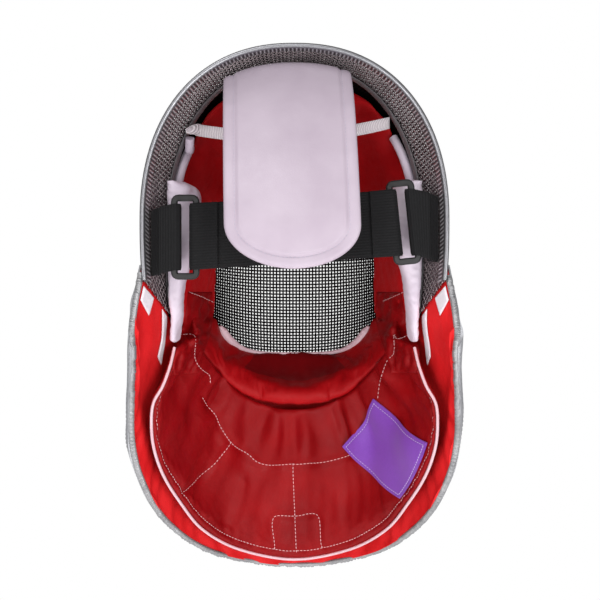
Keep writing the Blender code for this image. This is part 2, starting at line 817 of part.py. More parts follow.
def straps(group):
    """Centre strap between the buckles, and a short strap from each buckle to the band."""
    bar = (BUCKLE_WIDTH - BUCKLE_BAR) / 2
    inner_bar, outer_bar = BUCKLE_X - bar, BUCKLE_X + bar
    tilt = {side: sin(radians(BUCKLE_TILT_DEG[side])) for side in SIDES}

    def middle_lean(x):
        share = min(abs(x) / inner_bar, 1.0)
        return tilt["left" if x > 0 else "right"] * share ** 3

    end = hairpin(inner_bar)
    path = [(-x, STRAP_Y - y) for x, y in reversed(end)] + [(x, STRAP_Y - y) for x, y in end]
    ribbon("strap_centre", path, strap_height, middle_lean, group)
    for side, sign in SIDES.items():
        span = STRAP_WIDTH / 2

        def wall(depth):
            heights = (WALL_Z[side] - span, WALL_Z[side] + span)
            return min(inner_wall(depth, z) for z in heights) - STRAP_THICK / 2 - 2 * CLEAR

        run = wall(STRAP_FIXED_REAR) - outer_bar

        def share(x):
            return min(max((sign * x - outer_bar) / run, 0.0), 1.0)

        def outer_height(x):
            return mix(BUCKLE_Z[side], WALL_Z[side], share(x))

        def outer_lean(x):
            return tilt[side] * (1 - share(x)) ** 2

        turned = [(outer_bar - x, STRAP_Y - y) for x, y in hairpin(0.0) if x > -run * 0.75]
        path = [(wall(STRAP_FIXED_FRONT), -STRAP_FIXED_FRONT),
                (wall(STRAP_FIXED_REAR), -STRAP_FIXED_REAR),
                (wall(STRAP_FIXED_REAR) - STRAP_OFF_RIM + STRAP_THICK, -STRAP_FIXED_REAR / 2),
                (outer_bar + run * 0.62, STRAP_Y / 4)] + turned
        ribbon(f"strap_{side}", [(sign * x, y) for x, y in path], outer_height, outer_lean, group)


STRAP_Y = -STRAP_DEPTH


def buckles(group):
    """Rectangular loops with a round-cornered window for the two straps."""
    half_x = (BUCKLE_WIDTH - BUCKLE_BAR) / 2
    half_z = (BUCKLE_HEIGHT - BUCKLE_BAR) / 2
    corner = 0.003
    for side, sign in SIDES.items():
        tilt = radians(BUCKLE_TILT_DEG[side])
        rings = []
        for k in range(20):
            quarter, step = divmod(k, 5)
            turn = pi / 2 * (quarter + step / 4)
            centre = Vector(((half_x - corner) * (1, -1, -1, 1)[quarter],
                             (half_z - corner) * (1, 1, -1, -1)[quarter]))
            way = Vector((cos(turn), sin(turn)))
            ring = []
            for out, thick in ((0.5, 0.3), (0.3, 0.5), (-0.3, 0.5), (-0.5, 0.3),
                               (-0.5, -0.3), (-0.3, -0.5), (0.3, -0.5), (0.5, -0.3)):
                spot = centre + way * (corner + out * BUCKLE_BAR)
                x = spot.x * cos(tilt) - spot.y * sin(tilt)
                z = spot.x * sin(tilt) + spot.y * cos(tilt)
                ring.append(Vector((sign * BUCKLE_X + x, STRAP_Y + thick * BUCKLE_THICK,
                                    BUCKLE_Z[side] + z)))
            rings.append(ring)
        item = loft(f"buckle_{side}", rings, group, closed=True)
        paint(item, (0.02, 0.02, 0.022), 0.35)


def elastic(group):
    """The braided elastic from one upper pad corner to the other, sagging under the tongue."""
    depth = PAD_REAR - 0.012

    def place(u, v):
        across = 1 - 2 * u
        side = "left" if across > 0 else "right"
        half = inner_wall(depth, ELASTIC_END_Z[side] + ELASTIC_WIDTH / 2) - ELASTIC_INSET
        sag = ELASTIC_SAG * (1 - across * across)
        z = mix(ELASTIC_END_Z["right"], ELASTIC_END_Z["left"], 1 - u) - sag
        y = -mix(depth, depth - 0.026, 1 - across * across)
        return Vector((across * half, y, z + (0.5 - v) * ELASTIC_WIDTH))

    item = grid("pad_elastic", place, 16, 1, group)
    paint(thicken(item, ELASTIC_THICK, 0.0), *WHITE)


def small_pieces(group):
    """Patches at the bib's upper ends and the short tapes that hang by the cheek pads."""
    lining = offset_place(mirrored(bib_point), -3 * CLEAR - TAPE_THICK)
    for side in SIDES:
        for name, (top, foot, down) in TAPES.items():
            def place(u, v):
                across = mix(mix(*top, u), mix(*foot, u), v)
                return lining(across if side == "left" else 1 - across, mix(*down, v))

            item = grid(f"{name}_{side}", place, 2, 4, group)
            paint(thicken(item, TAPE_THICK, -1.0 if side == "right" else 1.0), *WHITE)


def main():
    clear_scene()
    group = collection("fencing_mask")
    wire_shell(group)
    rim_and_strip(group)
    padding(group)
    ear_tabs(group)
    edge_rolls(group)
    bibs(group)
    label(group)
    tongue(group)
    straps(group)
    buckles(group)
    elastic(group)
    small_pieces(group)
    seat = front_point(pi / 2, mix(front_share(PAD_REAR_TOP), opening_share(pi / 2), 0.5),
                       MESH_WALL / 2 + 2 * CLEAR + PAD_THICK)
    holder = bpy.data.objects.new("head_seat", None)
    holder.location = -seat
    group.objects.link(holder)
    for item in list(group.objects):
        if item is not holder:
            item.parent = holder


main()
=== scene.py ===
"""A fencing mask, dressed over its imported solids: wire, padded lining, bib, tongue and straps.

Every form is laid out as in the part's source, from the middle of the rim at ear height: x to the
wearer's left, depth forward of the rim (so y is minus the depth), z up. SEAT then carries all of
it to the object's own origin. Metres, +Z up, the open back looks along +Y.
"""
from functools import lru_cache
from math import asin, copysign, cos, pi, radians, sin, sqrt

import bmesh
import bpy
import numpy as np
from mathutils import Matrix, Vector
from mathutils.bvhtree import BVHTree


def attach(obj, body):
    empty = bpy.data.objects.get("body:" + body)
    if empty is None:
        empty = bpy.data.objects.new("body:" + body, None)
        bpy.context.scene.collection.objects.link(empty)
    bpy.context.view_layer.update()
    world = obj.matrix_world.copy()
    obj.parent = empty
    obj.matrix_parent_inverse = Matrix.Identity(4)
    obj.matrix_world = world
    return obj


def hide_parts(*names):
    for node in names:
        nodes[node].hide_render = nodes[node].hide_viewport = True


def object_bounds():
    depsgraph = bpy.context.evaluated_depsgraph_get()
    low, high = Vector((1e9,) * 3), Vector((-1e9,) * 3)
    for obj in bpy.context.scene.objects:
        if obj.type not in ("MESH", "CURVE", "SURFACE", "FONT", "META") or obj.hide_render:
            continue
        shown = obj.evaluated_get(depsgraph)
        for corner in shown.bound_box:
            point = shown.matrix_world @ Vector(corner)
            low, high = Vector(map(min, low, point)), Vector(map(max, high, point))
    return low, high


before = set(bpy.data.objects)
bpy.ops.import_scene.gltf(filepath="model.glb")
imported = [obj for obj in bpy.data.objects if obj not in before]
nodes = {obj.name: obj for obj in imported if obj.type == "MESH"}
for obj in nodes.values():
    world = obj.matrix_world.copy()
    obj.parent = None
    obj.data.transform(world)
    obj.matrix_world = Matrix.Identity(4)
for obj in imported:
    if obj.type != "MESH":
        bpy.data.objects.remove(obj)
solid_box = [list(corner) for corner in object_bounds()]

CLEAR = 0.0003
MESH_WALL = 0.002
RIM_HALF_WIDTH = 0.115
RIM_TOP = 0.1335
RIM_BELOW = 0.200
RIM_WIDEST_Z = 0.010
RIM_ROUNDNESS = 2.25
BAND_DEPTH = 0.038
FRONT_HALF_WIDTH = 0.104
FRONT_RISE = 0.146
FRONT_DROP = 0.168
FRONT_REACH = 0.198
FRONT_MIDDLE_Z = -0.005
FRONT_ROUNDNESS = 2.3
JAW_START_Z = -0.035
JAW_SLOPE = 0.664
RIM_SHEET = 0.0008
RIM_LEG = 0.006
STRIP_WIDTH = 0.008
STRIP_THICK = 0.0012
PAD_THICK = 0.013
PAD_REAR = 0.050
PAD_REAR_TOP = 0.092
PAD_DRAWN_DEG = 33
PAD_DRAWN_BACK = 0.027
PAD_DRAWN_TO = 0.044
PUFF_MOST = 0.0018
PUFF_FRAMES = 20
CHEEK_REAR = 0.0445
OPENING_HALF_WIDTH = 0.080
OPENING_TOP_Z = 0.038
OPENING_BOTTOM_Z = -0.102
OPENING_SQUARENESS = 3.2
CHEEK_TOP_DEG = 12.0
CHEEK_LOW_DEG = -22.0
PAD_PART_DEG = -0.1
CHIN_PAD_THICK = 0.017
CHIN_SHELF = 0.047
CHIN_STRAIGHT = 0.75
TAB_REAR = 0.0265
TAB_FRONT = 0.0435
TAB_TOP_Z = 0.044
TAB_BOTTOM_Z = -0.0825
TAB_WIDTH = 0.027
TAB_OVER = 0.009
ROLL_RADIUS = 0.003
ROLL_LOW_DEG = 15.0
ROLL_TOP_DEG = 36.0
ROLL_SEEN = 0.0036
ROLL_REACH = ((0.0835, -0.0400, 0.0700), (0.0825, -0.0335, 0.0785))
BIB_FLARE = 0.010
BIB_BELOW_CHIN = 0.155
BIB_TUCK = 0.016
BIB_KNEE = 0.16
LINING_THICK = 0.002
COVER_THICK = 0.0015
INNER_BIB_THICK = 0.006
INNER_BIB_HALF_WIDTH = 0.111
INNER_BIB_BELOW_CHIN = 0.146
PUCKER = 0.0022
INNER_BIB_SEAT = -0.0019
INNER_BIB_HEM = 0.0050
PIPING_SEEN = 0.0012
TONGUE_WIDTH = 0.097
TONGUE_THICK = 0.0035
TONGUE_BACK = 0.058
TONGUE_DROP = 0.160
TONGUE_TOP_Z = 0.133
TONGUE_ROUND = 0.032
TONGUE_SHIFT = 0.0065
TONGUE_SWAY = -0.006
TONGUE_BOW = 0.004
TONGUE_FLATTEN = 0.040
TONGUE_HEM = 0.0075
STRAP_WIDTH = 0.050
STRAP_THICK = 0.002
STRAP_Y = 0.004
BUCKLE_WIDTH = 0.0215
BUCKLE_BAR = 0.005
BUCKLE_THICK = 0.0035
BUCKLE_X = 0.0822
BUCKLE_TILT_DEG = {"left": 0.0, "right": -6.0}
BUCKLE_Z = {"left": -0.0017, "right": 0.0095}
WALL_Z = {"left": -0.0055, "right": 0.005}
STRAP_RETURN = 0.016
STRAP_FIXED_REAR = 0.0085
STRAP_FIXED_FRONT = 0.023
STRAP_OFF_RIM = 0.0007
ELASTIC_WIDTH = 0.0095
ELASTIC_END_Z = {"left": 0.086, "right": 0.0915}
ELASTIC_SAG = 0.012
ELASTIC_INSET = 0.0036
LABEL_THICK = 0.0008
LABEL_HEM = 0.0022
SIDES = {"left": 1.0, "right": -1.0}
RIPPLES = 7

# Wire
WIRE_PITCH = 0.0031
WIRE_RADIUS = {"front_mesh": 0.00080, "side_mesh": 0.00074}

# Where the eye is for laying cloth and seams over what is below: behind the rim, and its height
EYE_BACK = 0.800
EYE = Vector((0.0, EYE_BACK, -0.049))
DRAPE_DEEPEST = 0.115
# Lining between cheek pad and inner bib: its two edges down, x and z in the rim's plane, mm
GUSSETS = {
    "left": (((80.5, -43.0), (83.0, -62.0), (88.0, -80.0), (92.5, -96.0), (91.5, -106.0)),
             ((62.0, -43.0), (61.5, -60.0), (63.5, -74.0), (69.0, -90.0), (73.0, -104.0))),
    "right": (((-62.0, -43.0), (-61.5, -60.0), (-63.5, -74.0), (-69.0, -90.0), (-73.0, -104.0)),
              ((-80.5, -43.0), (-84.0, -60.0), (-91.0, -77.0), (-94.5, -90.0), (-92.0, -104.0))),
}
# Seams through that lining, in the same measures
CHEEK_SEAMS = (
    ((79.5, -43.0), (68.0, -47.5), (58.0, -52.5)),
    ((88.0, -75.3), (75.5, -76.1), (75.5, -92.0), (71.2, -100.5), (64.5, -105.8), (63.7, -110.8)),
    ((-67.0, -49.8), (-75.0, -46.5), (-86.0, -41.4)),
    ((-92.7, -72.5), (-78.4, -78.5), (-75.3, -75.3), (-75.3, -88.8), (-69.8, -95.6),
     (-64.7, -110.8), (-63.1, -122.4)),
)
# The elastic's left end: x, depth, height, half height and half thickness along it
ELASTIC_TIP = ((0.0730, 0.0370, 0.0862, 0.0046, 0.0018), (0.0770, 0.0340, 0.0858, 0.0046, 0.0022),
               (0.0805, 0.0315, 0.0850, 0.0040, 0.0022), (0.0835, 0.0300, 0.0842, 0.0030, 0.0020),
               (0.0856, 0.0290, 0.0836, 0.0016, 0.0012))
# Room light, and lamps: name, place, side of the square, watts
ROOM_LIGHT = 0.36
LENS = 63.42
LAMPS = (
    ("key", (0.25, 1.25, 0.85), 0.6, 7.5),
    ("left", (0.50, 1.15, -0.35), 0.6, 6.0),
    ("right", (-0.50, 1.15, -0.35), 0.6, 8.5),
    ("front", (0.30, -1.40, 0.60), 0.9, 9.0),
)

BIB_BORDER = (
    # out,   down,  forward
    (0.000, 1.000, 1.000),
    (0.256, 0.984, 0.955),
    (0.598, 0.915, 0.780),
    (0.840, 0.782, 0.510),
    (0.957, 0.632, 0.290),
    (1.000, 0.496, 0.175),
    (0.986, 0.347, 0.075),
    (0.968, 0.200, 0.030),
)
INNER_BORDER = (
    (0.000, 1.000, 0.935),
    (0.423, 0.948, 0.820),
    (0.690, 0.852, 0.625),
    (0.835, 0.735, 0.430),
    (0.935, 0.630, 0.285),
    (0.990, 0.530, 0.200),
    (1.000, 0.445, 0.175),
    (0.985, 0.385, 0.175),
    (0.925, 0.335, 0.185),
    (0.875, 0.270, 0.215),
    (0.850, 0.215, 0.250),
)
EAR_TAB = (
    (0.00, 0.42),
    (0.05, 0.86),
    (0.14, 1.00),
    (0.32, 0.92),
    (0.57, 0.60),
    (0.78, 0.36),
    (0.96, 0.24),
    (1.00, 0.18),
)
TAPES = {
    "bib_patch": ((0.008, 0.045), (0.008, 0.045), (0.175, 0.330)),
    "hanging_tab": ((0.080, 0.100), (0.122, 0.142), (0.175, 0.400)),
}
LABEL_CORNERS = ((0.780, 0.20), (0.625, 0.31), (0.738, 0.945), (0.853, 0.930))
TONGUE_LINE = (
    (-0.750, 0.005),
    (-0.500, 0.000),
    (-0.200, 0.012),
    (0.020, 0.070),
    (0.350, 0.220),
    (0.690, 0.465),
    (0.940, 0.750),
    (1.000, 1.000),
)
# Seams sewn through the inner bib: shares across it, from the wearer's left, and down it
BIB_SEAMS = (
    ((0.200, 0.25), (0.279, 0.283), (0.333, 0.350), (0.388, 0.358), (0.421, 0.392),
     (0.492, 0.370), (0.567, 0.375), (0.629, 0.392)),
    ((0.333, 0.350), (0.296, 0.642), (0.246, 0.955)),
    ((0.497, 0.371), (0.500, 0.667), (0.503, 0.955)),
    ((0.467, 0.945), (0.463, 0.742), (0.504, 0.722), (0.542, 0.733), (0.546, 0.945)),
)
# Its creases: height, where, how wide and tall the waves are, seed
QUILT_WAVES = (
    (0.0032, "chin", 0.040, 0.16, 61),
    (0.0009, "chin", 0.018, 0.10, 65),
    (0.0020, "below", 0.050, 0.080, 62),
    (0.0006, "below", 0.018, 0.045, 63),
)


# Forms shared with the part's source

def mix(low, high, share):
    return low + (high - low) * share


def clamp(value):
    return min(max(value, 0.0), 1.0)


def ease(value):
    """A share, held between 0 and 1, with a soft start and end."""
    value = clamp(value)
    return value * value * (3 - 2 * value)


def power(value, exponent):
    return copysign(abs(value) ** exponent, value)


def smooth_line(rows, count, mirror=False):
    """count + 1 points on a smooth curve through the rows, evenly spaced along it."""
    rows = [Vector(row) for row in rows]
    before = rows[0] * 2 - rows[1]
    if mirror:
        before = Vector((-rows[1].x, rows[1].y, rows[1].z))
    ends = [before] + rows + [rows[-1] * 2 - rows[-2]]
    fine = []
    for a, b, c, d in zip(ends, ends[1:], ends[2:], ends[3:]):
        for step in range(16):
            t = step / 16
            fine.append(0.5 * (2 * b + (c - a) * t + (2 * a - 5 * b + 4 * c - d) * t ** 2
                               + (3 * b - a - 3 * c + d) * t ** 3))
    fine.append(rows[-1])
    return spaced(fine, count)


def spaced(points, count):
    """count + 1 points at even distances along a line of points."""
    lengths = [0.0]
    for a, b in zip(points, points[1:]):
        lengths.append(lengths[-1] + (b - a).length)
    found, at = [], 0
    for step in range(count + 1):
        goal = lengths[-1] * step / count
        while at < len(points) - 2 and lengths[at + 1] < goal:
            at += 1
        span = lengths[at + 1] - lengths[at]
        found.append(points[at].lerp(points[at + 1], (goal - lengths[at]) / span))
    return found


def flat_line(marks, count):
    """A smooth line through marks of two numbers each."""
    return smooth_line([(*mark, 0.0) for mark in marks], count)


def along(points, share):
    """The point at a share, 0 to 1, of a list of evenly spaced points."""
    place = clamp(share) * (len(points) - 1)
    low = min(int(place), len(points) - 2)
    return points[low].lerp(points[low + 1], place - low)


def front_share(depth):
    return max(1.0 - abs(depth / FRONT_REACH) ** FRONT_ROUNDNESS, 0.0) ** (1 / FRONT_ROUNDNESS)


def depth_of_share(share):
    return FRONT_REACH * max(1.0 - share ** FRONT_ROUNDNESS, 0.0) ** (1 / FRONT_ROUNDNESS)


SEAM_SHARE = front_share(BAND_DEPTH)


def section(depth):
    """The shell's outline at a depth: half width, middle height, rise, drop, roundness."""
    if depth >= BAND_DEPTH:
        share = max(front_share(depth), 1e-6)
        return (FRONT_HALF_WIDTH * share, FRONT_MIDDLE_Z, FRONT_RISE * share,
                FRONT_DROP * share, FRONT_ROUNDNESS)
    t = depth / BAND_DEPTH
    return (mix(RIM_HALF_WIDTH, FRONT_HALF_WIDTH * SEAM_SHARE, t),
            mix(RIM_WIDEST_Z, FRONT_MIDDLE_Z, t), mix(RIM_TOP, FRONT_RISE * SEAM_SHARE, t),
            mix(RIM_BELOW, FRONT_DROP * SEAM_SHARE, t), mix(RIM_ROUNDNESS, FRONT_ROUNDNESS, t))


def outline(depth, angle, outset=0.0):
    """A point of the shell at a depth and an angle round it, moved outwards in its plane."""
    wide, middle, rise, drop, roundness = section(depth)
    tall = rise if sin(angle) >= 0 else drop
    x, z = wide * power(cos(angle), 2 / roundness), tall * power(sin(angle), 2 / roundness)
    normal = Vector((power(x / wide, roundness - 1) / wide, power(z / tall, roundness - 1) / tall))
    normal.normalize()
    return Vector((x + normal.x * outset, -depth, middle + z + normal.y * outset))


def jaw_z(depth):
    return JAW_START_Z - JAW_SLOPE * depth


def angle_at(depth, height):
    """The angle, right of the lowest point, where the shell has a height at a depth."""
    _, middle, rise, drop, roundness = section(depth)
    rel = height - middle
    share = min(abs(rel) / (rise if rel > 0 else drop), 1.0)
    return copysign(asin(share ** (roundness / 2)), rel)


def front_point(angle, share, inset=0.0):
    """A point of the front dome; share 1 is its widest outline and 0 its pole."""
    depth = depth_of_share(share)
    point = outline(depth, angle)
    tall = FRONT_RISE if point.z > FRONT_MIDDLE_Z else FRONT_DROP
    steep = FRONT_ROUNDNESS - 1
    normal = Vector((power(point.x / FRONT_HALF_WIDTH, steep) / FRONT_HALF_WIDTH,
                     -power(depth / FRONT_REACH, steep) / FRONT_REACH,
                     power((point.z - FRONT_MIDDLE_Z) / tall, steep) / tall))
    return point - normal.normalized() * inset


def solve(test, low, high):
    """Where test turns from true to false between low and high."""
    for _ in range(30):
        middle = (low + high) / 2
        if test(middle):
            low = middle
        else:
            high = middle
    return low


@lru_cache(None)
def edge_share(angle):
    """The dome's share at its seam, or where the jaw edge cuts it."""
    seam = front_share(BAND_DEPTH + CLEAR)

    def over_jaw(share):
        return outline(depth_of_share(share), angle).z > jaw_z(depth_of_share(share))

    return seam if over_jaw(seam) else solve(over_jaw, 0.0, seam)


@lru_cache(None)
def opening_share(angle):
    """The dome's share at the edge of the padding's face opening."""
    middle = (OPENING_TOP_Z + OPENING_BOTTOM_Z) / 2
    half = (OPENING_TOP_Z - OPENING_BOTTOM_Z) / 2

    def inside(share):
        point = outline(depth_of_share(share), angle)
        return (abs(point.x / OPENING_HALF_WIDTH) ** OPENING_SQUARENESS
                + abs((point.z - middle) / half) ** OPENING_SQUARENESS) < 1

    return solve(inside, 0.0, 1.0)


def forehead_rear(angle):
    """Depth of the forehead pad's rear edge: further forward over the top."""
    low = radians(CHEEK_TOP_DEG)
    share = 1 - abs(angle - pi / 2) / (pi / 2 - low)
    return mix(PAD_REAR, PAD_REAR_TOP, sin(share * pi / 2) ** 2)


def pad_back(angle):
    """As the pad's rear edge, with its cloth drawn back to the seam strip above the rolls."""
    up = ease((sin(angle) - sin(radians(PAD_DRAWN_DEG))) / 0.10)
    return max(forehead_rear(angle) - PAD_DRAWN_BACK * up, PAD_DRAWN_TO)


class ChinStation:
    """One direction round the chin: the jaw edge there and how far the shelf reaches back."""

    def __init__(self, angle):
        low = radians(CHEEK_LOW_DEG)
        middle = max(1 - abs(angle + pi / 2) / (pi / 2 + low), 0.0)
        self.ease = ease(middle)
        self.share = edge_share(angle)
        self.edge = front_point(angle, self.share)
        self.inward = front_point(angle, self.share, 1.0) - self.edge
        self.inward.z = 0.0
        straight = CHIN_STRAIGHT * sin(pi / 2 * min(1.5 * middle, 1.0))
        self.inward = self.inward.normalized().lerp(Vector((0.0, 1.0, 0.0)), straight).normalized()
        self.reach = mix(PAD_THICK + 0.003, CHIN_SHELF, self.ease)
        self.underside = -mix(0.004, 0.011, self.ease)

    def shelf(self, back, up):
        return self.edge + self.inward * (back * self.reach) + Vector((0.0, 0.0, up))


def inner_wall(depth, height):
    """The mesh's inner half width at a depth and height."""
    return outline(depth, angle_at(depth, max(height, jaw_z(depth)))).x - MESH_WALL / 2


def height_at(depth, x):
    """Height of the shell's middle surface over a place."""
    wide, middle, rise, _, roundness = section(depth)
    return middle + rise * max(1 - abs(x / wide) ** roundness, 0.0) ** (1 / roundness)


CHIN_DEPTH = depth_of_share(edge_share(-pi / 2))
CHIN_Z = jaw_z(CHIN_DEPTH)
SEAT = -front_point(pi / 2, mix(front_share(PAD_REAR_TOP), opening_share(pi / 2), 0.5),
                    MESH_WALL / 2 + 2 * CLEAR + PAD_THICK)


def jaw_line(count):
    """Points of the jaw edge from the chin to the rim's lower end."""
    points = []
    for k in range(241):
        depth = CHIN_DEPTH * (1 - (k / 240) ** 2)
        points.append(outline(depth, angle_at(depth, jaw_z(depth))))
    return spaced(points, count)


def border(rows, half_width, bottom):
    """A border line from a table of shares: out, down and forward."""
    return smooth_line([(out * half_width, -forward * CHIN_DEPTH, mix(JAW_START_Z, bottom, down))
                        for out, down, forward in rows], 60, mirror=True)


def shell_level(point):
    """Under 1 inside the shell's surface, 1 on it."""
    wide, middle, rise, drop, roundness = section(-point.y)
    tall = rise if point.z > middle else drop
    return abs(point.x / wide) ** roundness + abs((point.z - middle) / tall) ** roundness


def shell_normal(point):
    step = 0.0004
    axes = (Vector((step, 0, 0)), Vector((0, step, 0)), Vector((0, 0, step)))
    return Vector([shell_level(point + axis) - shell_level(point - axis)
                   for axis in axes]).normalized()


def mesh_outside(half, raise_by, outset):
    """The jaw edge at a share of its way, moved up the mesh and off its outside."""
    jaw = along(JAW, half)
    ahead = along(JAW, min(half + 0.02, 1.0)) - along(JAW, max(half - 0.02, 0.0))
    if half < 0.02:
        ahead = Vector((1.0, 0.0, 0.0))
    normal = shell_normal(jaw + Vector((0.0, 0.0, 0.002)))
    up = ahead.cross(normal).normalized()
    up = up if up.z > 0 else -up
    place = jaw + up * raise_by
    offset = solve(lambda s: shell_level(place + normal * s) < 1, -0.02, 0.02)
    return place + normal * (offset + outset)


def inner_top_line(count):
    """Where the inner bib hangs from the underside of the chin shelf."""
    points = []
    for k in range(count + 1):
        at = ChinStation(mix(-pi / 2, radians(CHEEK_LOW_DEG), k / count))
        points.append(at.shelf(0.80, at.underside - INNER_BIB_THICK / 2 - INNER_BIB_SEAT))
    return spaced(points, count)


JAW = jaw_line(60)
BIB_LINE = border(BIB_BORDER, RIM_HALF_WIDTH + BIB_FLARE, CHIN_Z - BIB_BELOW_CHIN)
INNER_LINE = border(INNER_BORDER, INNER_BIB_HALF_WIDTH, CHIN_Z - INNER_BIB_BELOW_CHIN)
INNER_TOP_LINE = inner_top_line(60)


def mirrored(place):
    """Turns a place from the middle to one end into one from the left end to the right."""

    def whole(u, v):
        half = 1 - 2 * u
        point = place(abs(half), v)
        point.x = copysign(point.x, half) if abs(half) > 1e-6 else 0.0
        return point

    return whole


@lru_cache(None)
def bib_column(half):
    """The three marks of one column of the outer bib: on the mesh, at the jaw, at the border."""
    depth = -along(JAW, half).y
    over_rim = max(0.0, 1 - depth / (3 * RIM_LEG)) * 1.6 * (RIM_SHEET + CLEAR)
    clear = MESH_WALL / 2 + 2 * CLEAR + over_rim
    return (mesh_outside(half, BIB_TUCK, clear), mesh_outside(half, 0.0, clear),
            along(BIB_LINE, half))


def bib_point(half, v):
    """The outer bib's inner face: down the mesh's outside, over the jaw, out to its border."""
    top, low, end = bib_column(half)
    out = Vector((end.x, end.y, 0.0)).normalized()
    if v < BIB_KNEE:
        return top.lerp(low, v / BIB_KNEE)
    t = (v - BIB_KNEE) / (1 - BIB_KNEE)
    length = (end - low).length
    down = Vector((0.0, 0.0, -0.35 * length)) + out * (0.08 * length)
    rise = Vector((0.0, 0.0, 0.25 * length)) + out * (0.06 * length)
    a, b, c = (1 - t) ** 3, 3 * (1 - t) ** 2 * t, 3 * (1 - t) * t * t
    return a * low + b * (low + down) + c * (end + rise) + t ** 3 * end


def inner_bib_point(half, v):
    """The inner bib's middle surface, with soft puckers that fan out from the chin."""
    top, end = along(INNER_TOP_LINE, half), along(INNER_LINE, half)
    out = Vector((end.x, end.y, 0.0)).normalized()
    swell = 0.05 * (end - top).length * sin(pi * v)
    fold = PUCKER * sin(half * 31.0 + 0.6) * sin(pi * min(v * 1.35, 1.0))
    return top.lerp(end, v) + out * (swell + fold)


# Shader maths and finishes

def add_node(tree, kind, inputs, settings=None):
    """A new node of a tree, with its settings and with its inputs set or linked."""
    made = tree.nodes.new(kind)
    for key, value in (settings or {}).items():
        setattr(made, key, value)
    for key, value in inputs.items():
        if isinstance(value, bpy.types.NodeSocket):
            tree.links.new(value, made.inputs[key])
        else:
            made.inputs[key].default_value = value
    return made


class Amount:
    """A node's output that adds, multiplies and compares like a number."""

    def __init__(self, finish, socket):
        self.finish, self.socket = finish, socket

    def _math(self, operation, *values):
        return self.finish.node("ShaderNodeMath", {"operation": operation},
                                dict(enumerate(values)))

    def __add__(self, other):
        return self._math("ADD", self, other)

    def __sub__(self, other):
        return self._math("SUBTRACT", self, other)

    def __rsub__(self, other):
        return self._math("SUBTRACT", other, self)

    def __mul__(self, other):
        return self._math("MULTIPLY", self, other)

    def __gt__(self, other):
        return self._math("GREATER_THAN", self, other)

    __radd__, __rmul__ = __add__, __mul__

    def sine(self):
        return self._math("SINE", self)

    def size(self):
        return self._math("ABSOLUTE", self)


class Finish:
    """One material, built from named amounts."""

    def __init__(self, name):
        self.material = bpy.data.materials.new(name)
        self.material.use_nodes = True
        self.tree = self.material.node_tree
        self.tree.nodes.clear()
        self.point = self.node("ShaderNodeTexCoord", output="Object")
        lay_out = self.node("ShaderNodeUVMap", {"uv_map": "length"})
        self.across = self.node("ShaderNodeSeparateXYZ", {}, {0: lay_out}, "X")
        self.down = self.node("ShaderNodeSeparateXYZ", {}, {0: lay_out}, "Y")

    def node(self, kind, settings=None, inputs=None, output=0):
        inputs = {key: value.socket if isinstance(value, Amount) else value
                  for key, value in (inputs or {}).items()}
        return Amount(self, add_node(self.tree, kind, inputs, settings).outputs[output])

    def noise(self, scale, detail=2.0, rough=0.5):
        return self.node("ShaderNodeTexNoise", {}, {"Vector": self.point, "Scale": scale,
                                                    "Detail": detail, "Roughness": rough}, "Fac")

    def between(self, factor, low, high):
        """A colour between two others."""
        return self.node("ShaderNodeMix", {"data_type": "RGBA"},
                         {0: factor, 6: low, 7: high}, 2)

    def span(self, amount, low, high, to_low=0.0, to_high=1.0):
        return self.node("ShaderNodeMapRange", {}, {0: amount, 1: low, 2: high, 3: to_low,
                                                    4: to_high})

    def raised(self, height, distance, strength=1.0, under=None):
        inputs = {"Height": height, "Distance": distance, "Strength": strength}
        if under:
            inputs["Normal"] = under
        return self.node("ShaderNodeBump", {}, inputs)

    def weave(self, pitch):
        """Height of a plain weave whose threads are a pitch apart."""
        u, v = self.across * (pi / pitch), self.down * (pi / pitch)
        a, b = u.sine(), v.sine()
        over = (a * b) > 0.0
        return a.size() * over + b.size() * (1.0 - over)

    def surface(self, **inputs):
        shader = self.node("ShaderNodeBsdfPrincipled", {}, {
            key.replace("_", " ").title().replace("Ior", "IOR"): value
            for key, value in inputs.items()})
        add_node(self.tree, "ShaderNodeOutputMaterial", {"Surface": shader.socket})
        return self.material


def tint(red, green, blue):
    """A colour as it is seen on a screen, 0 to 255, as the shader wants it."""
    return (*[(c / 255 / 12.92 if c < 10.3 else ((c / 255 + 0.055) / 1.055) ** 2.4)
              for c in (red, green, blue)], 1.0)


def drawn_wire(name, dark, light, rough, metal=1.0):
    """Drawn or rolled steel with a dull, slightly brown skin."""
    f = Finish(name)
    patches, fine = f.noise(70.0, 3.0), f.noise(900.0, 2.0)
    return f.surface(base_color=f.between(patches, tint(*dark), tint(*light)), metallic=metal,
                     roughness=f.span(fine, 0.3, 0.7, rough - 0.08, rough + 0.12),
                     normal=f.raised(fine, 0.0001, 0.3))


def rim_finish():
    """Pressed steel channel: the mesh's weave shows through its outer leg, dashes on its inner."""
    f = Finish("pressed_rim_steel")
    ribs = (f.across * (2 * pi / 0.0024) + f.down * 900.0).sine()
    outer = f.span(f.down, 0.0066, 0.0074, 1.0, 0.0)
    inner = f.span(f.down, 0.0098, 0.0108)
    dashes = (f.across * (2 * pi / 0.0031)).sine() * inner
    scuffs = f.noise(260.0, 4.0, 0.6)
    tone = f.between(f.span(ribs * outer, -0.6, 0.8), tint(70, 70, 74), tint(132, 132, 136))
    tone = f.between(outer, tint(138, 138, 142), tone)
    dark = f.between(f.span(dashes, -0.2, 0.9), tint(92, 84, 88), tint(206, 202, 206))
    return f.surface(base_color=f.between(inner, tone, dark),
                     metallic=f.span(inner, 0.0, 1.0, 1.0, 0.6),
                     roughness=f.span(scuffs, 0.25, 0.75, 0.3, 0.48),
                     normal=f.raised(ribs * outer + dashes, 0.00035, 0.8,
                                     f.raised(scuffs, 0.0002, 0.25)))


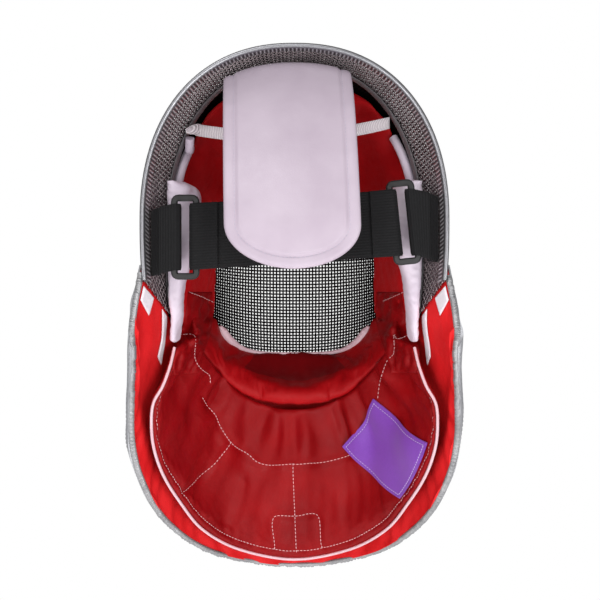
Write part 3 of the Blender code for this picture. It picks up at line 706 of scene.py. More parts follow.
def cloth_red(name, low, high, sheen, crease):
    """Red lining cloth: a close plain weave with small creases and a soft sheen."""
    f = Finish(name)
    large, small = f.noise(22.0, 3.0), f.noise(130.0, 4.0, 0.62)
    fine = f.noise(2400.0, 1.0)
    weave = f.weave(0.00045)
    colour = f.between(f.span(large, 0.3, 0.7), tint(*low), tint(*high))
    colour = f.between(f.span(fine * weave, 0.05, 0.6, 0.0, 0.22), colour, tint(96, 4, 8))
    normal = f.raised(weave, 0.00006, 0.35, f.raised(small, crease, 0.5))
    return f.surface(base_color=colour, roughness=f.span(small, 0.3, 0.7, 0.42, 0.6),
                     sheen_weight=sheen, sheen_roughness=0.4, sheen_tint=(1.0, 0.4, 0.35, 1.0),
                     specular_ior_level=0.14, normal=normal)


def vinyl(name, low, high, rough=0.45):
    """Coated cloth with a fine leather grain."""
    f = Finish(name)
    cells = f.node("ShaderNodeTexVoronoi", {"feature": "DISTANCE_TO_EDGE"},
                   {"Vector": f.point, "Scale": 950.0, "Randomness": 0.9})
    large, smear = f.noise(30.0, 3.0), f.noise(300.0, 3.0, 0.6)
    grain = f.span(cells, 0.0, 0.25)
    return f.surface(base_color=f.between(f.span(large, 0.3, 0.7), tint(*low), tint(*high)),
                     roughness=f.span(smear, 0.3, 0.7, rough - 0.07, rough + 0.1),
                     specular_ior_level=0.4,
                     normal=f.raised(grain, 0.00006, 0.3, f.raised(smear, 0.0003, 0.25)))


def webbing(name, along_strap):
    """Black woven elastic with ribs along or across the strap."""
    f = Finish(name)
    run = f.down if along_strap else f.across
    cross = f.across if along_strap else f.down
    rib = (run * (2 * pi / 0.0021)).sine()
    thread = (cross * (2 * pi / 0.0011) + rib * 0.8).sine()
    lint = f.noise(700.0, 3.0, 0.7)
    height = rib * 0.7 + thread * 0.3
    return f.surface(base_color=f.between(f.span(height + lint * 0.6, -0.6, 1.3), tint(3, 3, 4),
                                          tint(15, 14, 17)),
                     roughness=f.span(lint, 0.2, 0.8, 0.66, 0.84), specular_ior_level=0.25,
                     sheen_weight=0.02, sheen_roughness=0.5, normal=f.raised(height, 0.00025, 0.7))


def braid():
    """White braided elastic: a herringbone of flat threads."""
    f = Finish("white_braid")
    lean = (f.down - 0.006).size() * 900.0
    twill = (f.across * (2 * pi / 0.0016) + lean).sine()
    lint = f.noise(800.0, 2.0)
    colour = f.between(f.span(twill + lint, -0.4, 1.4), tint(184, 172, 180), tint(232, 224, 228))
    return f.surface(base_color=colour, roughness=0.7, sheen_weight=0.3,
                     normal=f.raised(twill, 0.0003, 0.8))


def lame(name, light, dark, pitch):
    """Silver bib cloth: metal threads on a grey weave, a little dulled in its folds."""
    f = Finish(name)
    weave, tarnish, fine = f.weave(pitch), f.noise(38.0, 4.0, 0.6), f.noise(1500.0, 2.0)
    dull = f.span(tarnish + (1.0 - weave) * 0.5, 0.35, 1.1)
    return f.surface(base_color=f.between(dull, tint(*light), tint(*dark)),
                     metallic=f.span(fine, 0.2, 0.8, 0.5, 0.8),
                     roughness=f.span(tarnish, 0.2, 0.8, 0.46, 0.6),
                     normal=f.raised(weave, 0.00010, 0.6, f.raised(f.noise(160.0, 3.0), 0.0004,
                                                                   0.3)))


def satin(name, low, high):
    """Woven label or tape: close threads with a slight shine."""
    f = Finish(name)
    twill = ((f.across + f.down) * (2 * pi / 0.0006)).sine()
    fine = f.noise(500.0, 3.0)
    colour = f.between(f.span(twill + fine * 1.6, -0.6, 2.0), tint(*low), tint(*high))
    return f.surface(base_color=colour, roughness=f.span(fine, 0.3, 0.7, 0.42, 0.54),
                     sheen_weight=0.2, normal=f.raised(twill, 0.00005, 0.5))


def moulded():
    """Black moulded nylon, satin, with finger wear on its raised edges."""
    f = Finish("black_moulded_nylon")
    grain, rub = f.noise(1400.0, 2.0), f.noise(90.0, 4.0, 0.65)
    return f.surface(base_color=f.between(f.span(rub, 0.45, 0.8), tint(7, 7, 8),
                                          tint(22, 22, 25)),
                     roughness=f.span(rub, 0.2, 0.8, 0.3, 0.5),
                     normal=f.raised(grain, 0.00006, 0.4))


def thread(name, colour):
    f = Finish(name)
    twist = f.noise(3000.0, 1.0)
    return f.surface(base_color=f.between(twist, tint(*[c * 0.86 for c in colour]),
                                          tint(*colour)), roughness=0.55)


FINISH = {
    # Painted shade: the front wire is the band's bare steel, coloured near black to stand in for
    # the shade inside the front mesh.
    "front_wire_painted_shade": drawn_wire("front_mesh_wire_painted_shade", (16, 16, 16), (34, 33, 33), 0.6),
    "band_wire": drawn_wire("side_mesh_wire", (92, 80, 83), (146, 135, 138), 0.36),
    "rim": rim_finish(),
    "strip": drawn_wire("seam_strip_steel", (104, 102, 105), (138, 136, 139), 0.55, 0.45),
    "pad_red": cloth_red("pad_red_cloth", (172, 14, 20), (190, 20, 26), 0.02, 0.0004),
    "bib_red": cloth_red("bib_red_lining", (124, 3, 8), (146, 6, 12), 0.0, 0.0009),
    "chin_red": cloth_red("chin_pad_red_cloth", (144, 5, 11), (168, 9, 16), 0.0, 0.0009),
    # Painted light: the outer bib's lining red is much lighter than the other red cloth, to stand
    # in for light on its strip that lies in shade between the bib layers.
    "bib_painted_light": cloth_red("outer_bib_red_lining_painted_light", (212, 26, 30), (230, 38, 42), 0.0, 0.0010),
    "vinyl": vinyl("tongue_white_vinyl", (172, 158, 172), (182, 169, 182)),
    "soft_vinyl": vinyl("pad_edge_white_vinyl", (198, 184, 200), (216, 204, 216), 0.5),
    # Painted shade: a darker copy of the chin pad's red, put on the chin cup's hollow to darken it
    # as shade would.
    "pocket_painted_shade_red": cloth_red("chin_pocket_painted_shade", (108, 6, 12), (130, 9, 16), 0.0, 0.0006),
    "binding": satin("white_binding_tape", (206, 170, 182), (228, 200, 208)),
    "edging": lame("silver_edge_binding", (182, 182, 184), (118, 118, 121), 0.0009),
    "piping": satin("piping_tape", (206, 164, 174), (222, 186, 194)),
    "tape": satin("white_tape", (208, 202, 210), (226, 221, 228)),
    "braid": braid(),
    "ribs_down": webbing("black_elastic_upright_ribs", False),
    "ribs_along": webbing("black_elastic_long_ribs", True),
    "plastic": moulded(),
    "lame": lame("silver_cover_cloth", (188, 189, 193), (164, 165, 170), 0.0005),
    "label": satin("purple_label_cloth", (98, 40, 148), (128, 62, 178)),
    "white_thread": thread("white_sewing_thread", (238, 190, 194)),
    "grey_thread": thread("grey_sewing_thread", (176, 170, 186)),
    "cover_thread": thread("cover_sewing_thread", (120, 121, 126)),
    "label_thread": thread("label_sewing_thread", (206, 190, 226)),
}


# Making solid pieces from rows of points

def lay(place, columns, rows):
    """Points of place(u, v) on an even grid, as an array."""
    return np.array([[tuple(place(i / columns, j / rows)) for j in range(rows + 1)]
                     for i in range(columns + 1)])


def facing(grid):
    """Unit normals of a grid of points, on the side that its columns and rows turn to."""
    turned = np.cross(np.gradient(grid, axis=0), np.gradient(grid, axis=1))
    length = np.linalg.norm(turned, axis=2, keepdims=True)
    turned = turned / np.maximum(length, 1e-12)
    for row in (0, -1):
        weak = length[:, row, 0] < 1e-10
        turned[weak, row] = turned[weak, row + (1 if row == 0 else -1)]
    return turned


def lengths(grid):
    """How far each column and each row lies along the grid."""
    u = np.linalg.norm(np.diff(grid, axis=0), axis=2).mean(axis=1)
    v = np.linalg.norm(np.diff(grid, axis=1), axis=2).mean(axis=0)
    return np.concatenate([[0], np.cumsum(u)]), np.concatenate([[0], np.cumsum(v)])


def cell_area(grid):
    """Area of the cloth that a grid lays out."""
    one, two = grid[1:, 1:] - grid[:-1, :-1], grid[1:, :-1] - grid[:-1, 1:]
    return float(np.linalg.norm(np.cross(one, two), axis=2).sum() / 2)


def places(items, name="co"):
    """A vector of each item, such as a mesh's vertices, as the rows of an array."""
    flat = np.empty(len(items) * 3)
    items.foreach_get(name, flat)
    return flat.reshape(-1, 3)


def map_lengths(mesh, spread):
    """Gives a mesh its UV map "length": two measures, in metres, at each vertex."""
    layer = mesh.uv_layers.get("length") or mesh.uv_layers.new(name="length")
    corner = np.empty(len(mesh.loops), dtype=np.int32)
    mesh.loops.foreach_get("vertex_index", corner)
    layer.data.foreach_set("uv", spread[corner].astype(np.float32).ravel())


def shaped(item):
    """Turns what a piece's modifiers make of it into its own mesh."""
    graph = bpy.context.evaluated_depsgraph_get()
    made = bpy.data.meshes.new_from_object(item.evaluated_get(graph))
    item.modifiers.clear()
    item.data = made
    return made


def put(name, data):
    """A new object in the scene, of a mesh, a lamp or a camera."""
    item = bpy.data.objects.new(name, data)
    bpy.context.scene.collection.objects.link(item)
    return item


def solid(name, front, back, finish, sharp=50.0):
    """A closed skin over two facing grids; its UV map "length" is in metres."""
    n, m = front.shape[:2]
    at = np.arange(n * m).reshape(n, m)
    faces = np.stack([at[:-1, :-1], at[1:, :-1], at[1:, 1:], at[:-1, 1:]], axis=2).reshape(-1, 4)
    rim = np.concatenate([at[:-1, 0], at[-1, :-1], at[:0:-1, -1], at[0, :0:-1]])
    ahead = np.roll(rim, -1)
    walls = np.stack([ahead, rim, rim + n * m, ahead + n * m], axis=1)
    faces = np.concatenate([faces, faces[:, ::-1] + n * m, walls])
    points = np.concatenate([front.reshape(-1, 3), back.reshape(-1, 3)]) + np.array(SEAT)
    mesh = bpy.data.meshes.new(name)
    mesh.from_pydata(points.tolist(), [], faces.tolist())
    u, v = lengths(front)
    spread = np.stack(np.meshgrid(u, v, indexing="ij"), axis=2).reshape(-1, 2)
    map_lengths(mesh, np.concatenate([spread, spread]))
    mesh.materials.append(FINISH[finish])
    shape = bmesh.new()
    shape.from_mesh(mesh)
    bmesh.ops.remove_doubles(shape, verts=shape.verts, dist=2e-6)
    bmesh.ops.dissolve_degenerate(shape, edges=shape.edges, dist=1e-6)
    shape.to_mesh(mesh)
    shape.free()
    mesh.shade_smooth()
    mesh.set_sharp_from_angle(angle=radians(sharp))
    return put(name, mesh)


def off(grid, face, push):
    """A grid moved off along its normals, by one distance or by one for each point."""
    return grid + face * np.broadcast_to(push, grid.shape[:2])[:, :, None]


def layer(name, grid, face, top, low, finish, sharp=50.0, flip=False):
    """A closed layer between two distances off a grid; flip where face is turned round."""
    pushes = (low, top) if flip else (top, low)
    return solid(name, *(off(grid, face, push) for push in pushes), finish, sharp)


def facing_way(grid, spot, way):
    """Normals of a grid that look a given way at one spot, and whether they were turned round."""
    face = facing(grid)
    flip = face[spot] @ way < 0
    return -face if flip else face, flip


def step_at(run, way):
    """The first step of a run that lies this far along it."""
    return int(np.searchsorted(run, way))


def bell(way, middle, width):
    """1 at the middle, and less with the square of the way from it."""
    return np.exp(-((way - middle) / width) ** 2)


def rise(way, start, run):
    """From 0 at the start to 1 after the run."""
    return np.clip((way - start) / run, 0, 1)


def edge_distance(grid, open_top=False):
    """How far each point lies from the grid's border, along its rows and columns."""
    u, v = lengths(grid)
    across = np.minimum(u, u[-1] - u)[:, None]
    down = (v[-1] - v if open_top else np.minimum(v, v[-1] - v))[None, :]
    return np.minimum(across, down)


def rounded(distance, radius):
    """Share of the full thickness at a distance from a round edge."""
    t = np.clip(distance / radius, 0.0, 1.0)
    return np.sqrt(np.maximum(1 - (1 - t) ** 2, 0.0))


def ripple(a, b, seed):
    """Smooth waves over two lengths, about 1 high and 1 across; the same for the same seed."""
    chance = np.random.default_rng(seed)
    total = 0.0
    for _ in range(RIPPLES):
        turn, pace, start = (chance.uniform(*ends) for ends in ((0, 2 * pi), (0.6, 1.6), (0, 9)))
        total = total + np.sin(2 * pi * pace * (a * cos(turn) + b * sin(turn)) + start)
    return total / sqrt(RIPPLES)


def distance_to(grid, line):
    """Distance of every point of a grid from a line of points."""
    flat = grid.reshape(-1, 3)
    best = np.full(len(flat), 1.0)
    for a, b in zip(line[:-1], line[1:]):
        way = b - a
        share = np.clip(((flat - a) @ way) / max(way @ way, 1e-12), 0, 1)
        best = np.minimum(best, np.linalg.norm(flat - a - share[:, None] * way, axis=1))
    return best.reshape(grid.shape[:2])


def pick(grid, u, v):
    """The point of a grid at shares u and v."""
    n, m = grid.shape[0] - 1, grid.shape[1] - 1
    x, y = min(max(u, 0), 1) * n, min(max(v, 0), 1) * m
    i, j = min(int(x), n - 1), min(int(y), m - 1)
    s, t = x - i, y - j
    return ((grid[i, j] * (1 - s) + grid[i + 1, j] * s) * (1 - t)
            + (grid[i, j + 1] * (1 - s) + grid[i + 1, j + 1] * s) * t)


def seam_line(grid, marks):
    """Points of a grid under a sewn line that passes the marks."""
    return np.array([pick(grid, spot.x, spot.y) for spot in flat_line(marks, 60)])


# Geometry Nodes: wire along lines, stitches along seams

def node_tree(name, sockets):
    tree = bpy.data.node_groups.new(name, "GeometryNodeTree")
    for label, kind in sockets:
        tree.interface.new_socket(label, in_out="INPUT", socket_type=kind)
    tree.interface.new_socket("Made", in_out="OUTPUT", socket_type="NodeSocketGeometry")
    return tree, tree.nodes.new("NodeGroupInput"), tree.nodes.new("NodeGroupOutput")


def chain(tree, flow, steps, end):
    """Links geometry through new nodes in turn."""
    for kind, inputs in steps:
        flow = add_node(tree, kind, {**inputs, 0: flow}).outputs[0]
    tree.links.new(flow, end)


def wire_tree():
    """Round wire along every line of edges."""
    tree, given, made = node_tree("wire_on_lines", (
        ("Lines", "NodeSocketGeometry"), ("Radius", "NodeSocketFloat"),
        ("Sides", "NodeSocketInt"), ("Finish", "NodeSocketMaterial")))
    given = given.outputs
    ring = add_node(tree, "GeometryNodeCurvePrimitiveCircle",
                    {"Radius": given["Radius"], "Resolution": given["Sides"]})
    chain(tree, given["Lines"], (
        ("GeometryNodeMeshToCurve", {}),
        ("GeometryNodeCurveToMesh", {"Profile Curve": ring.outputs[0], "Fill Caps": True}),
        ("GeometryNodeSetShadeSmooth", {}),
        ("GeometryNodeRealizeInstances", {}),
        ("GeometryNodeSetMaterial", {"Material": given["Finish"]})), made.inputs[0])
    return tree


def stitch_tree():
    """Short threads at even steps along every line of edges."""
    tree, given, made = node_tree("stitches_on_lines", (
        ("Lines", "NodeSocketGeometry"), ("Pitch", "NodeSocketFloat"),
        ("Length", "NodeSocketFloat"), ("Radius", "NodeSocketFloat"),
        ("Finish", "NodeSocketMaterial")))
    given = given.outputs
    bead = add_node(tree, "GeometryNodeMeshUVSphere", {"Segments": 6, "Rings": 4, "Radius": 1.0})
    half = add_node(tree, "ShaderNodeMath", {0: given["Length"], 1: 0.5},
                    {"operation": "MULTIPLY"})
    size = add_node(tree, "ShaderNodeCombineXYZ",
                    {"X": given["Radius"], "Y": given["Radius"], "Z": half.outputs[0]})
    line = add_node(tree, "GeometryNodeMeshToCurve", {0: given["Lines"]})
    spots = add_node(tree, "GeometryNodeCurveToPoints",
                     {0: line.outputs[0], "Length": given["Pitch"]}, {"mode": "LENGTH"})
    chain(tree, spots.outputs["Points"], (
        ("GeometryNodeInstanceOnPoints", {"Instance": bead.outputs["Mesh"],
                                          "Rotation": spots.outputs["Rotation"],
                                          "Scale": size.outputs[0]}),
        ("GeometryNodeRealizeInstances", {}),
        ("GeometryNodeSetShadeSmooth", {}),
        ("GeometryNodeSetMaterial", {"Material": given["Finish"]})), made.inputs[0])
    return tree


WIRE, STITCH = wire_tree(), stitch_tree()


def grow(name, lines, tree, **values):
    """The plain mesh that a tree makes of lines of points."""
    points, edges = [], []
    for line in lines:
        edges += [(len(points) + k, len(points) + k + 1) for k in range(len(line) - 1)]
        points += [tuple(np.array(spot) + np.array(SEAT)) for spot in line]
    mesh = bpy.data.meshes.new(name)
    mesh.from_pydata(points, edges, [])
    item = put(name, mesh)
    run = item.modifiers.new("run", "NODES")
    run.node_group = tree
    for socket in tree.interface.items_tree:
        if socket.in_out == "INPUT" and socket.name in values:
            run[socket.identifier] = values[socket.name]
    shaped(item)
    return item


def keep(item, slot, *stands_for):
    """Fastens a finished piece to the mask and hides the imported parts that it stands for."""
    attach(item, "root")
    if stands_for:
        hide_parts(*stands_for)
    return item


def stitches(name, lines, finish, pitch=0.0032, length=0.0025, radius=0.00033):
    keep(grow(name, lines, STITCH, Pitch=pitch, Length=length, Radius=radius,
              Finish=FINISH[finish]), "white_braid")


# Woven wire

def inner_runs(row, good):
    """The parts of a wire that lie inside its net, each cut off where it leaves the net."""

    def cut(k, beyond):
        if np.isfinite(row[beyond]).all():
            line.append(row[k] + (row[beyond] - row[k]) * good[k] / (good[k] - good[beyond]))

    runs, line = [], []
    for k in range(len(row)):
        if good[k] > 0:
            if not line and k:
                cut(k, k - 1)
            line.append(row[k])
        elif line:
            cut(k - 1, k)
            runs.append(line)
            line = []
    return [run for run in [*runs, line] if len(run) > 2]


def net_lines(points, normals, inside, bend):
    """Both families of a woven net, each wire bent over and under the wires it crosses."""
    sign = (-1.0) ** np.add.outer(np.arange(points.shape[0]), np.arange(points.shape[1]))
    families = []
    for turn in (0, 1):
        place = points + normals * (sign * (1 if turn else -1) * bend)[:, :, None]
        rows, value = (place, inside) if turn else (place.transpose(1, 0, 2), inside.T)
        families.append([run for row, good in zip(rows, value) for run in inner_runs(row, good)])
    return families


def front_net():
    """Crossings of the front mesh, as a flat net pressed over the dome from its tip."""
    axis = (np.arange(-98, 98) + 0.5) * WIRE_PITCH
    across, up = np.meshgrid(axis, axis, indexing="ij")
    far, turn = np.hypot(across, up).ravel(), np.arctan2(up, across).ravel()
    n = FRONT_ROUNDNESS
    tall = np.where(turn >= 0, FRONT_RISE, FRONT_DROP)
    radius = (np.abs(np.cos(turn) / FRONT_HALF_WIDTH) ** n
              + np.abs(np.sin(turn) / tall) ** n) ** (-1 / n)
    lean = np.linspace(0, pi / 2, 120)
    out, deep = np.sin(lean) ** (2 / n), FRONT_REACH * np.cos(lean) ** (2 / n)
    run = np.hypot(np.diff(out)[None, :] * radius[:, None], np.diff(deep)[None, :])
    run = np.concatenate([np.zeros((len(far), 1)), np.cumsum(run, axis=1)], axis=1)
    step = np.clip((run < far[:, None]).sum(axis=1) - 1, 0, len(lean) - 2)
    row = np.arange(len(far))
    part = (far - run[row, step]) / (run[row, step + 1] - run[row, step])
    part = np.minimum(part, 1.0)
    share = out[step] + (out[step + 1] - out[step]) * part
    depth = deep[step] + (deep[step + 1] - deep[step]) * part
    depth -= np.maximum(far - run[:, -1], 0.0)
    x, z = radius * share * np.cos(turn), radius * share * np.sin(turn)
    steep = n - 1
    normal = np.stack([np.sign(x) * np.abs(x / FRONT_HALF_WIDTH) ** steep / FRONT_HALF_WIDTH,
                       -np.abs(depth / FRONT_REACH) ** steep / FRONT_REACH,
                       np.sign(z) * np.abs(z / tall) ** steep / tall], axis=1)
    normal /= np.linalg.norm(normal, axis=1, keepdims=True)
    points = np.stack([x, -depth, z + FRONT_MIDDLE_Z], axis=1)
    seam = depth - BAND_DEPTH - CLEAR
    jaw = points[:, 2] - (JAW_START_Z - JAW_SLOPE * depth) - CLEAR
    inside = np.minimum(seam, jaw)
    size = len(axis)
    return (points.reshape(size, size, 3), normal.reshape(size, size, 3),
            inside.reshape(size, size))


def band_net():
    """Crossings of the side band: wires round it and wires from rim to seam."""
    depths = np.arange(0.0022, BAND_DEPTH - CLEAR, 0.00298)
    low = angle_at(BAND_DEPTH, jaw_z(BAND_DEPTH))
    fine = [outline(BAND_DEPTH / 2, mix(low, pi - low, k / 1600)) for k in range(1601)]
    run = np.concatenate([[0], np.cumsum([(b - a).length for a, b in zip(fine, fine[1:])])])
    count = int(run[-1] / WIRE_PITCH)
    shares = np.interp(np.linspace(0, run[-1], count + 1), run, np.linspace(0, 1, 1601))
    points = np.array([[tuple(outline(depth, mix(low, pi - low, share))) for depth in
                        [0.0007, *depths, BAND_DEPTH - 0.0004]] for share in shares])
    inside = points[:, :, 2] - (JAW_START_Z + JAW_SLOPE * points[:, :, 1]) - CLEAR
    return points, -facing(points), inside


def wire_mesh():
    # The front wire's near-black colour is painted shade.
    for name, net, finish in (("front_mesh", front_net(), "front_wire_painted_shade"),
                              ("side_mesh", band_net(), "band_wire")):
        radius = WIRE_RADIUS[name]
        for family, lines in zip(("level", "upright"), net_lines(*net, radius * 0.8)):
            item = grow(f"{name}_{family}_wires", lines, WIRE, Radius=radius, Sides=5,
                        Finish=FINISH[finish])
            keep(item, "wire_mesh", name)


def rim():
    """The folded steel channel over the band's rear edge."""
    low = angle_at(0.0, jaw_z(0.0) + 2 * CLEAR)
    gap = MESH_WALL / 2 + CLEAR + RIM_SHEET / 2

    def channel(thick):
        def place(u, v):
            angle = mix(low, pi - low, u)
            turn = pi * clamp((v - 0.3) / 0.4)
            leg = max(abs(v - 0.5) - 0.2, 0.0) / 0.3 * RIM_LEG
            return outline(leg - (gap + thick) * sin(turn), angle, (gap + thick) * cos(turn))
        return lay(place, 300, 20)

    outer, inner = channel(RIM_SHEET / 2), channel(-RIM_SHEET / 2)
    keep(solid("rim_channel", inner, outer, "rim"), "rim_steel", "rim")


def seam_strip():
    """The thin strip spot-welded over the seam inside."""
    inset = MESH_WALL / 2 + 3 * CLEAR + STRIP_THICK / 2

    def place(u, v):
        depth = BAND_DEPTH + STRIP_WIDTH * (v - 0.5)
        start = angle_at(depth, jaw_z(depth) + 0.002)
        return outline(depth, mix(start, pi - start, u), -inset)

    grid = lay(place, 260, 8)
    normal = facing(grid)
    u, v = lengths(grid)
    spot = np.abs((u / 0.012) % 1.0 - 0.5)[:, None] * 0.012
    dimple = 0.0004 * np.exp(-(spot ** 2 + (v - v[-1] / 2)[None, :] ** 2) / 0.0014 ** 2)
    half = STRIP_THICK / 2 * (0.35 + 0.65 * rounded(edge_distance(grid), 0.0009))
    strip = layer("seam_strip_welded", grid, normal, half - dimple, -half, "strip")
    keep(strip, "strip_steel", "seam_strip")


# Padding

def ring_at(spot, one, other, count):
    """A ring of points round a spot, between two half axes."""
    turns = (2 * pi * k / count for k in range(count))
    return [spot + one * cos(turn) + other * sin(turn) for turn in turns]


def loft(name, rings, finish, smooth=2, pocket=None):
    """A soft closed body through rings of as many points each; its UV map goes round its axis.

    pocket names the rows and columns of its skin that get a darker red, painted shade for the chin
    cup's hollow.
    """
    mesh = bpy.data.meshes.new(name)
    shape = bmesh.new()
    rows = [[shape.verts.new(point + SEAT) for point in ring] for ring in rings]
    for j, (low, high) in enumerate(zip(rows, rows[1:])):
        for k in range(len(low)):
            nxt = (k + 1) % len(low)
            face = shape.faces.new((low[k], low[nxt], high[nxt], high[k]))
            face.material_index = int(pocket is not None and j in pocket[0] and k in pocket[1])
    shape.faces.new(rows[0][::-1])
    shape.faces.new(rows[-1])
    bmesh.ops.recalc_face_normals(shape, faces=shape.faces)
    shape.to_mesh(mesh)
    shape.free()
    mesh.materials.append(FINISH[finish])
    if pocket:
        mesh.materials.append(FINISH["pocket_painted_shade_red"])
    item = put(name, mesh)
    soft = item.modifiers.new("soft", "SUBSURF")
    soft.levels = soft.render_levels = smooth
    mesh = shaped(item)
    x, y, z = places(mesh.vertices).T
    map_lengths(mesh, np.stack([np.arctan2(x, 0.1 - y) * 0.13, z], axis=1))
    mesh.shade_smooth()
    return item


def puffed(item):
    """Lets a pad's cloth, cut a little full, fill out under pressure, by PUFF_MOST at most."""
    cloth = item.modifiers.new("cloth", "CLOTH")
    cloth.settings.quality = 4
    cloth.settings.use_pressure = True
    cloth.settings.uniform_pressure_force = 4.0
    cloth.settings.effector_weights.gravity = 0.0
    cloth.settings.shrink_min = -0.05
    cloth.point_cache.frame_start, cloth.point_cache.frame_end = 1, PUFF_FRAMES
    for step in range(1, PUFF_FRAMES + 1):
        bpy.context.scene.frame_set(step)
    graph = bpy.context.evaluated_depsgraph_get()
    rest = places(item.data.vertices)
    push = places(item.evaluated_get(graph).to_mesh().vertices) - rest
    item.modifiers.clear()
    bpy.context.scene.frame_set(1)
    room = np.array([1 - shell_level(Vector(spot) - SEAT) for spot in rest])
    far = np.linalg.norm(push, axis=1, keepdims=True)
    push *= np.minimum(1.0, PUFF_MOST / np.maximum(far, 1e-9))
    push *= rise(room, 0.04, 0.14)[:, None]
    item.data.vertices.foreach_set("co", (rest + push).ravel())
    item.data.update()
    return item


def creased(item, height, size, seed):
    """Moves a soft piece's skin along its normals, in long creases."""
    mesh = item.data
    points = places(mesh.vertices)
    normal = places(mesh.vertex_normals, "vector")
    x, y, z = points.T
    push = height * (ripple(x / size + y / size * 0.4, z / size * 0.55, seed)
                     + 0.45 * ripple(x / size * 2.3, z / size * 2.1 + y / size * 2.3, seed + 1))
    points += normal * push[:, None]
    mesh.vertices.foreach_set("co", points.ravel())
    mesh.update()
    return item


def pad_rings(angles, rear):
    """Sections of a pad that lines the dome from a rear depth to the face opening."""
    near, steps = MESH_WALL / 2 + 2 * CLEAR, 6
    rings = []
    for angle in angles:
        back = min(front_share(rear(angle)), edge_share(angle) - 0.005)
        front = opening_share(angle)
        outer = [front_point(angle, mix(back, front, k / steps), near) for k in range(steps + 1)]
        inner = []
        for k in range(steps + 1):
            full = 0.80 + 0.20 * sin(pi * k / steps)
            share = mix(back - 0.010, front + 0.010, k / steps)
            inner.append(front_point(angle, share, near + PAD_THICK * full))
        rings.append(outer + inner[::-1])
    return rings


def pad(name, node, rings, filling, crease, finish="pad_red", **pocket):
    """A red pad: its cloth filled out and creased."""
    item = creased(puffed(loft(name, rings, finish, **pocket)), *crease)
    keep(item, "red_cloth", node)


def padding():
    part = radians(PAD_PART_DEG)
    top, low = radians(CHEEK_TOP_DEG), radians(CHEEK_LOW_DEG)
    angles = [mix(top + part, pi - top - part, k / 34) for k in range(35)]
    pad("forehead_pad_cloth", "forehead_pad", pad_rings(angles, pad_back), 0.8,
        (0.0007, 0.030, 11))
    for side, seed in (("left", 21), ("right", 23)):
        angles = [mix(low + part, top - part, k / 14) for k in range(15)]
        if side == "right":
            angles = [pi - angle for angle in angles]
        pad(f"cheek_pad_cloth_{side}", f"cheek_pad_{side}",
            pad_rings(angles, lambda _: CHEEK_REAR), 0.7, (0.0005, 0.022, seed))
    # The chin cup's hollow gets painted shade: the darker red on these rows and columns.
    pad("chin_pad_cloth", "chin_pad", chin_rings(), 0.8, (0.0005, 0.026, 31), "chin_red",
        pocket=(range(11, 33), (7, 8, 9)))


def chin_rings():
    """The chin cup: it lines the jaw mesh and reaches back as a shelf with a round lip."""
    low, part = radians(CHEEK_LOW_DEG), radians(PAD_PART_DEG)
    near = MESH_WALL / 2 + 2 * CLEAR
    rings = []
    for k in range(45):
        angle = mix(-pi - low + part, low - part, k / 44)
        at = ChinStation(angle)
        front = min(opening_share(angle), at.share - 0.02)
        rings.append([
            front_point(angle, front, near),
            front_point(angle, mix(at.share, front, 0.5), near),
            front_point(angle, at.share - 0.004, near),
            at.shelf(0.35, -mix(0.004, 0.007, at.ease)),
            at.shelf(0.80, at.underside),
            at.shelf(1.00, -0.003),
            at.shelf(0.90, 0.007),
            at.shelf(0.62, mix(0.016, 0.009, at.ease)),
            front_point(angle, mix(at.share, front, 0.35), near + CHIN_PAD_THICK * 0.9),
            front_point(angle, front + 0.02, near + CHIN_PAD_THICK),
        ])
    return rings


def roll(name, line, radius, finish, sides=12):
    """A rolled or corded edge along a line of points."""
    item = grow(name, [line], WIRE, Radius=radius, Sides=sides, Finish=FINISH[finish])
    height = places(item.data.vertices)[:, 2]
    run = np.arange(len(height)) // sides * np.linalg.norm(line[1] - line[0])
    map_lengths(item.data, np.stack([run, height], axis=1))
    return item


def roll_line(side):
    """Where a white roll runs up beside the forehead pad."""
    line, inset = [], MESH_WALL / 2 + 4 * CLEAR + ROLL_RADIUS
    for k in range(41):
        angle = radians(mix(ROLL_LOW_DEG, ROLL_TOP_DEG, k / 40))
        depth = forehead_rear(angle) - ROLL_RADIUS - 2 * CLEAR
        line.append(np.array(front_point(pi - angle if side == "right" else angle,
                                         front_share(depth), inset)))
    return line


def pad_edges():
    """White vinyl round the pads: the rear tabs by the ears, the rolls beside the forehead pad."""
    near = STRIP_THICK + 5 * CLEAR
    middle = (TAB_REAR + TAB_FRONT) / 2
    widths = flat_line(EAR_TAB, 20)
    for side, sign in SIDES.items():
        rings = []
        for share, wide, _ in widths:
            z = mix(TAB_TOP_Z, TAB_BOTTOM_Z, share)
            wide = wide * TAB_WIDTH
            over = clamp((z - 0.021) / 0.006)
            rear = TAB_REAR - TAB_OVER * over
            ring = []
            for depth, x in ((rear, 0.10), (rear, 0.90), (middle, 1.0), (TAB_FRONT, 0.85),
                             (TAB_FRONT, 0.15), (middle, 0.0)):
                out = min(inner_wall(depth, z), inner_wall(TAB_FRONT, z) + 0.004 + 0.006 * over)
                out -= near
                ring.append(Vector((sign * (out - wide * x), -depth, z)))
            rings.append(ring)
        tab = loft(f"ear_tab_vinyl_{side}", rings, "soft_vinyl", 3)
        creased(tab, 0.0004, 0.016, 41)
        keep(tab, "white_vinyl", f"ear_tab_{side}")
        line = roll_line(side)
        if side == "left":
            line = smooth_line([line[0], line[15], line[30], *ROLL_REACH], 41)
            line = [np.array(spot) for spot in line]
        edge = roll(f"edge_roll_vinyl_{side}", line, ROLL_SEEN, "soft_vinyl")
        keep(edge, "white_vinyl", f"edge_roll_{side}")


# Bib

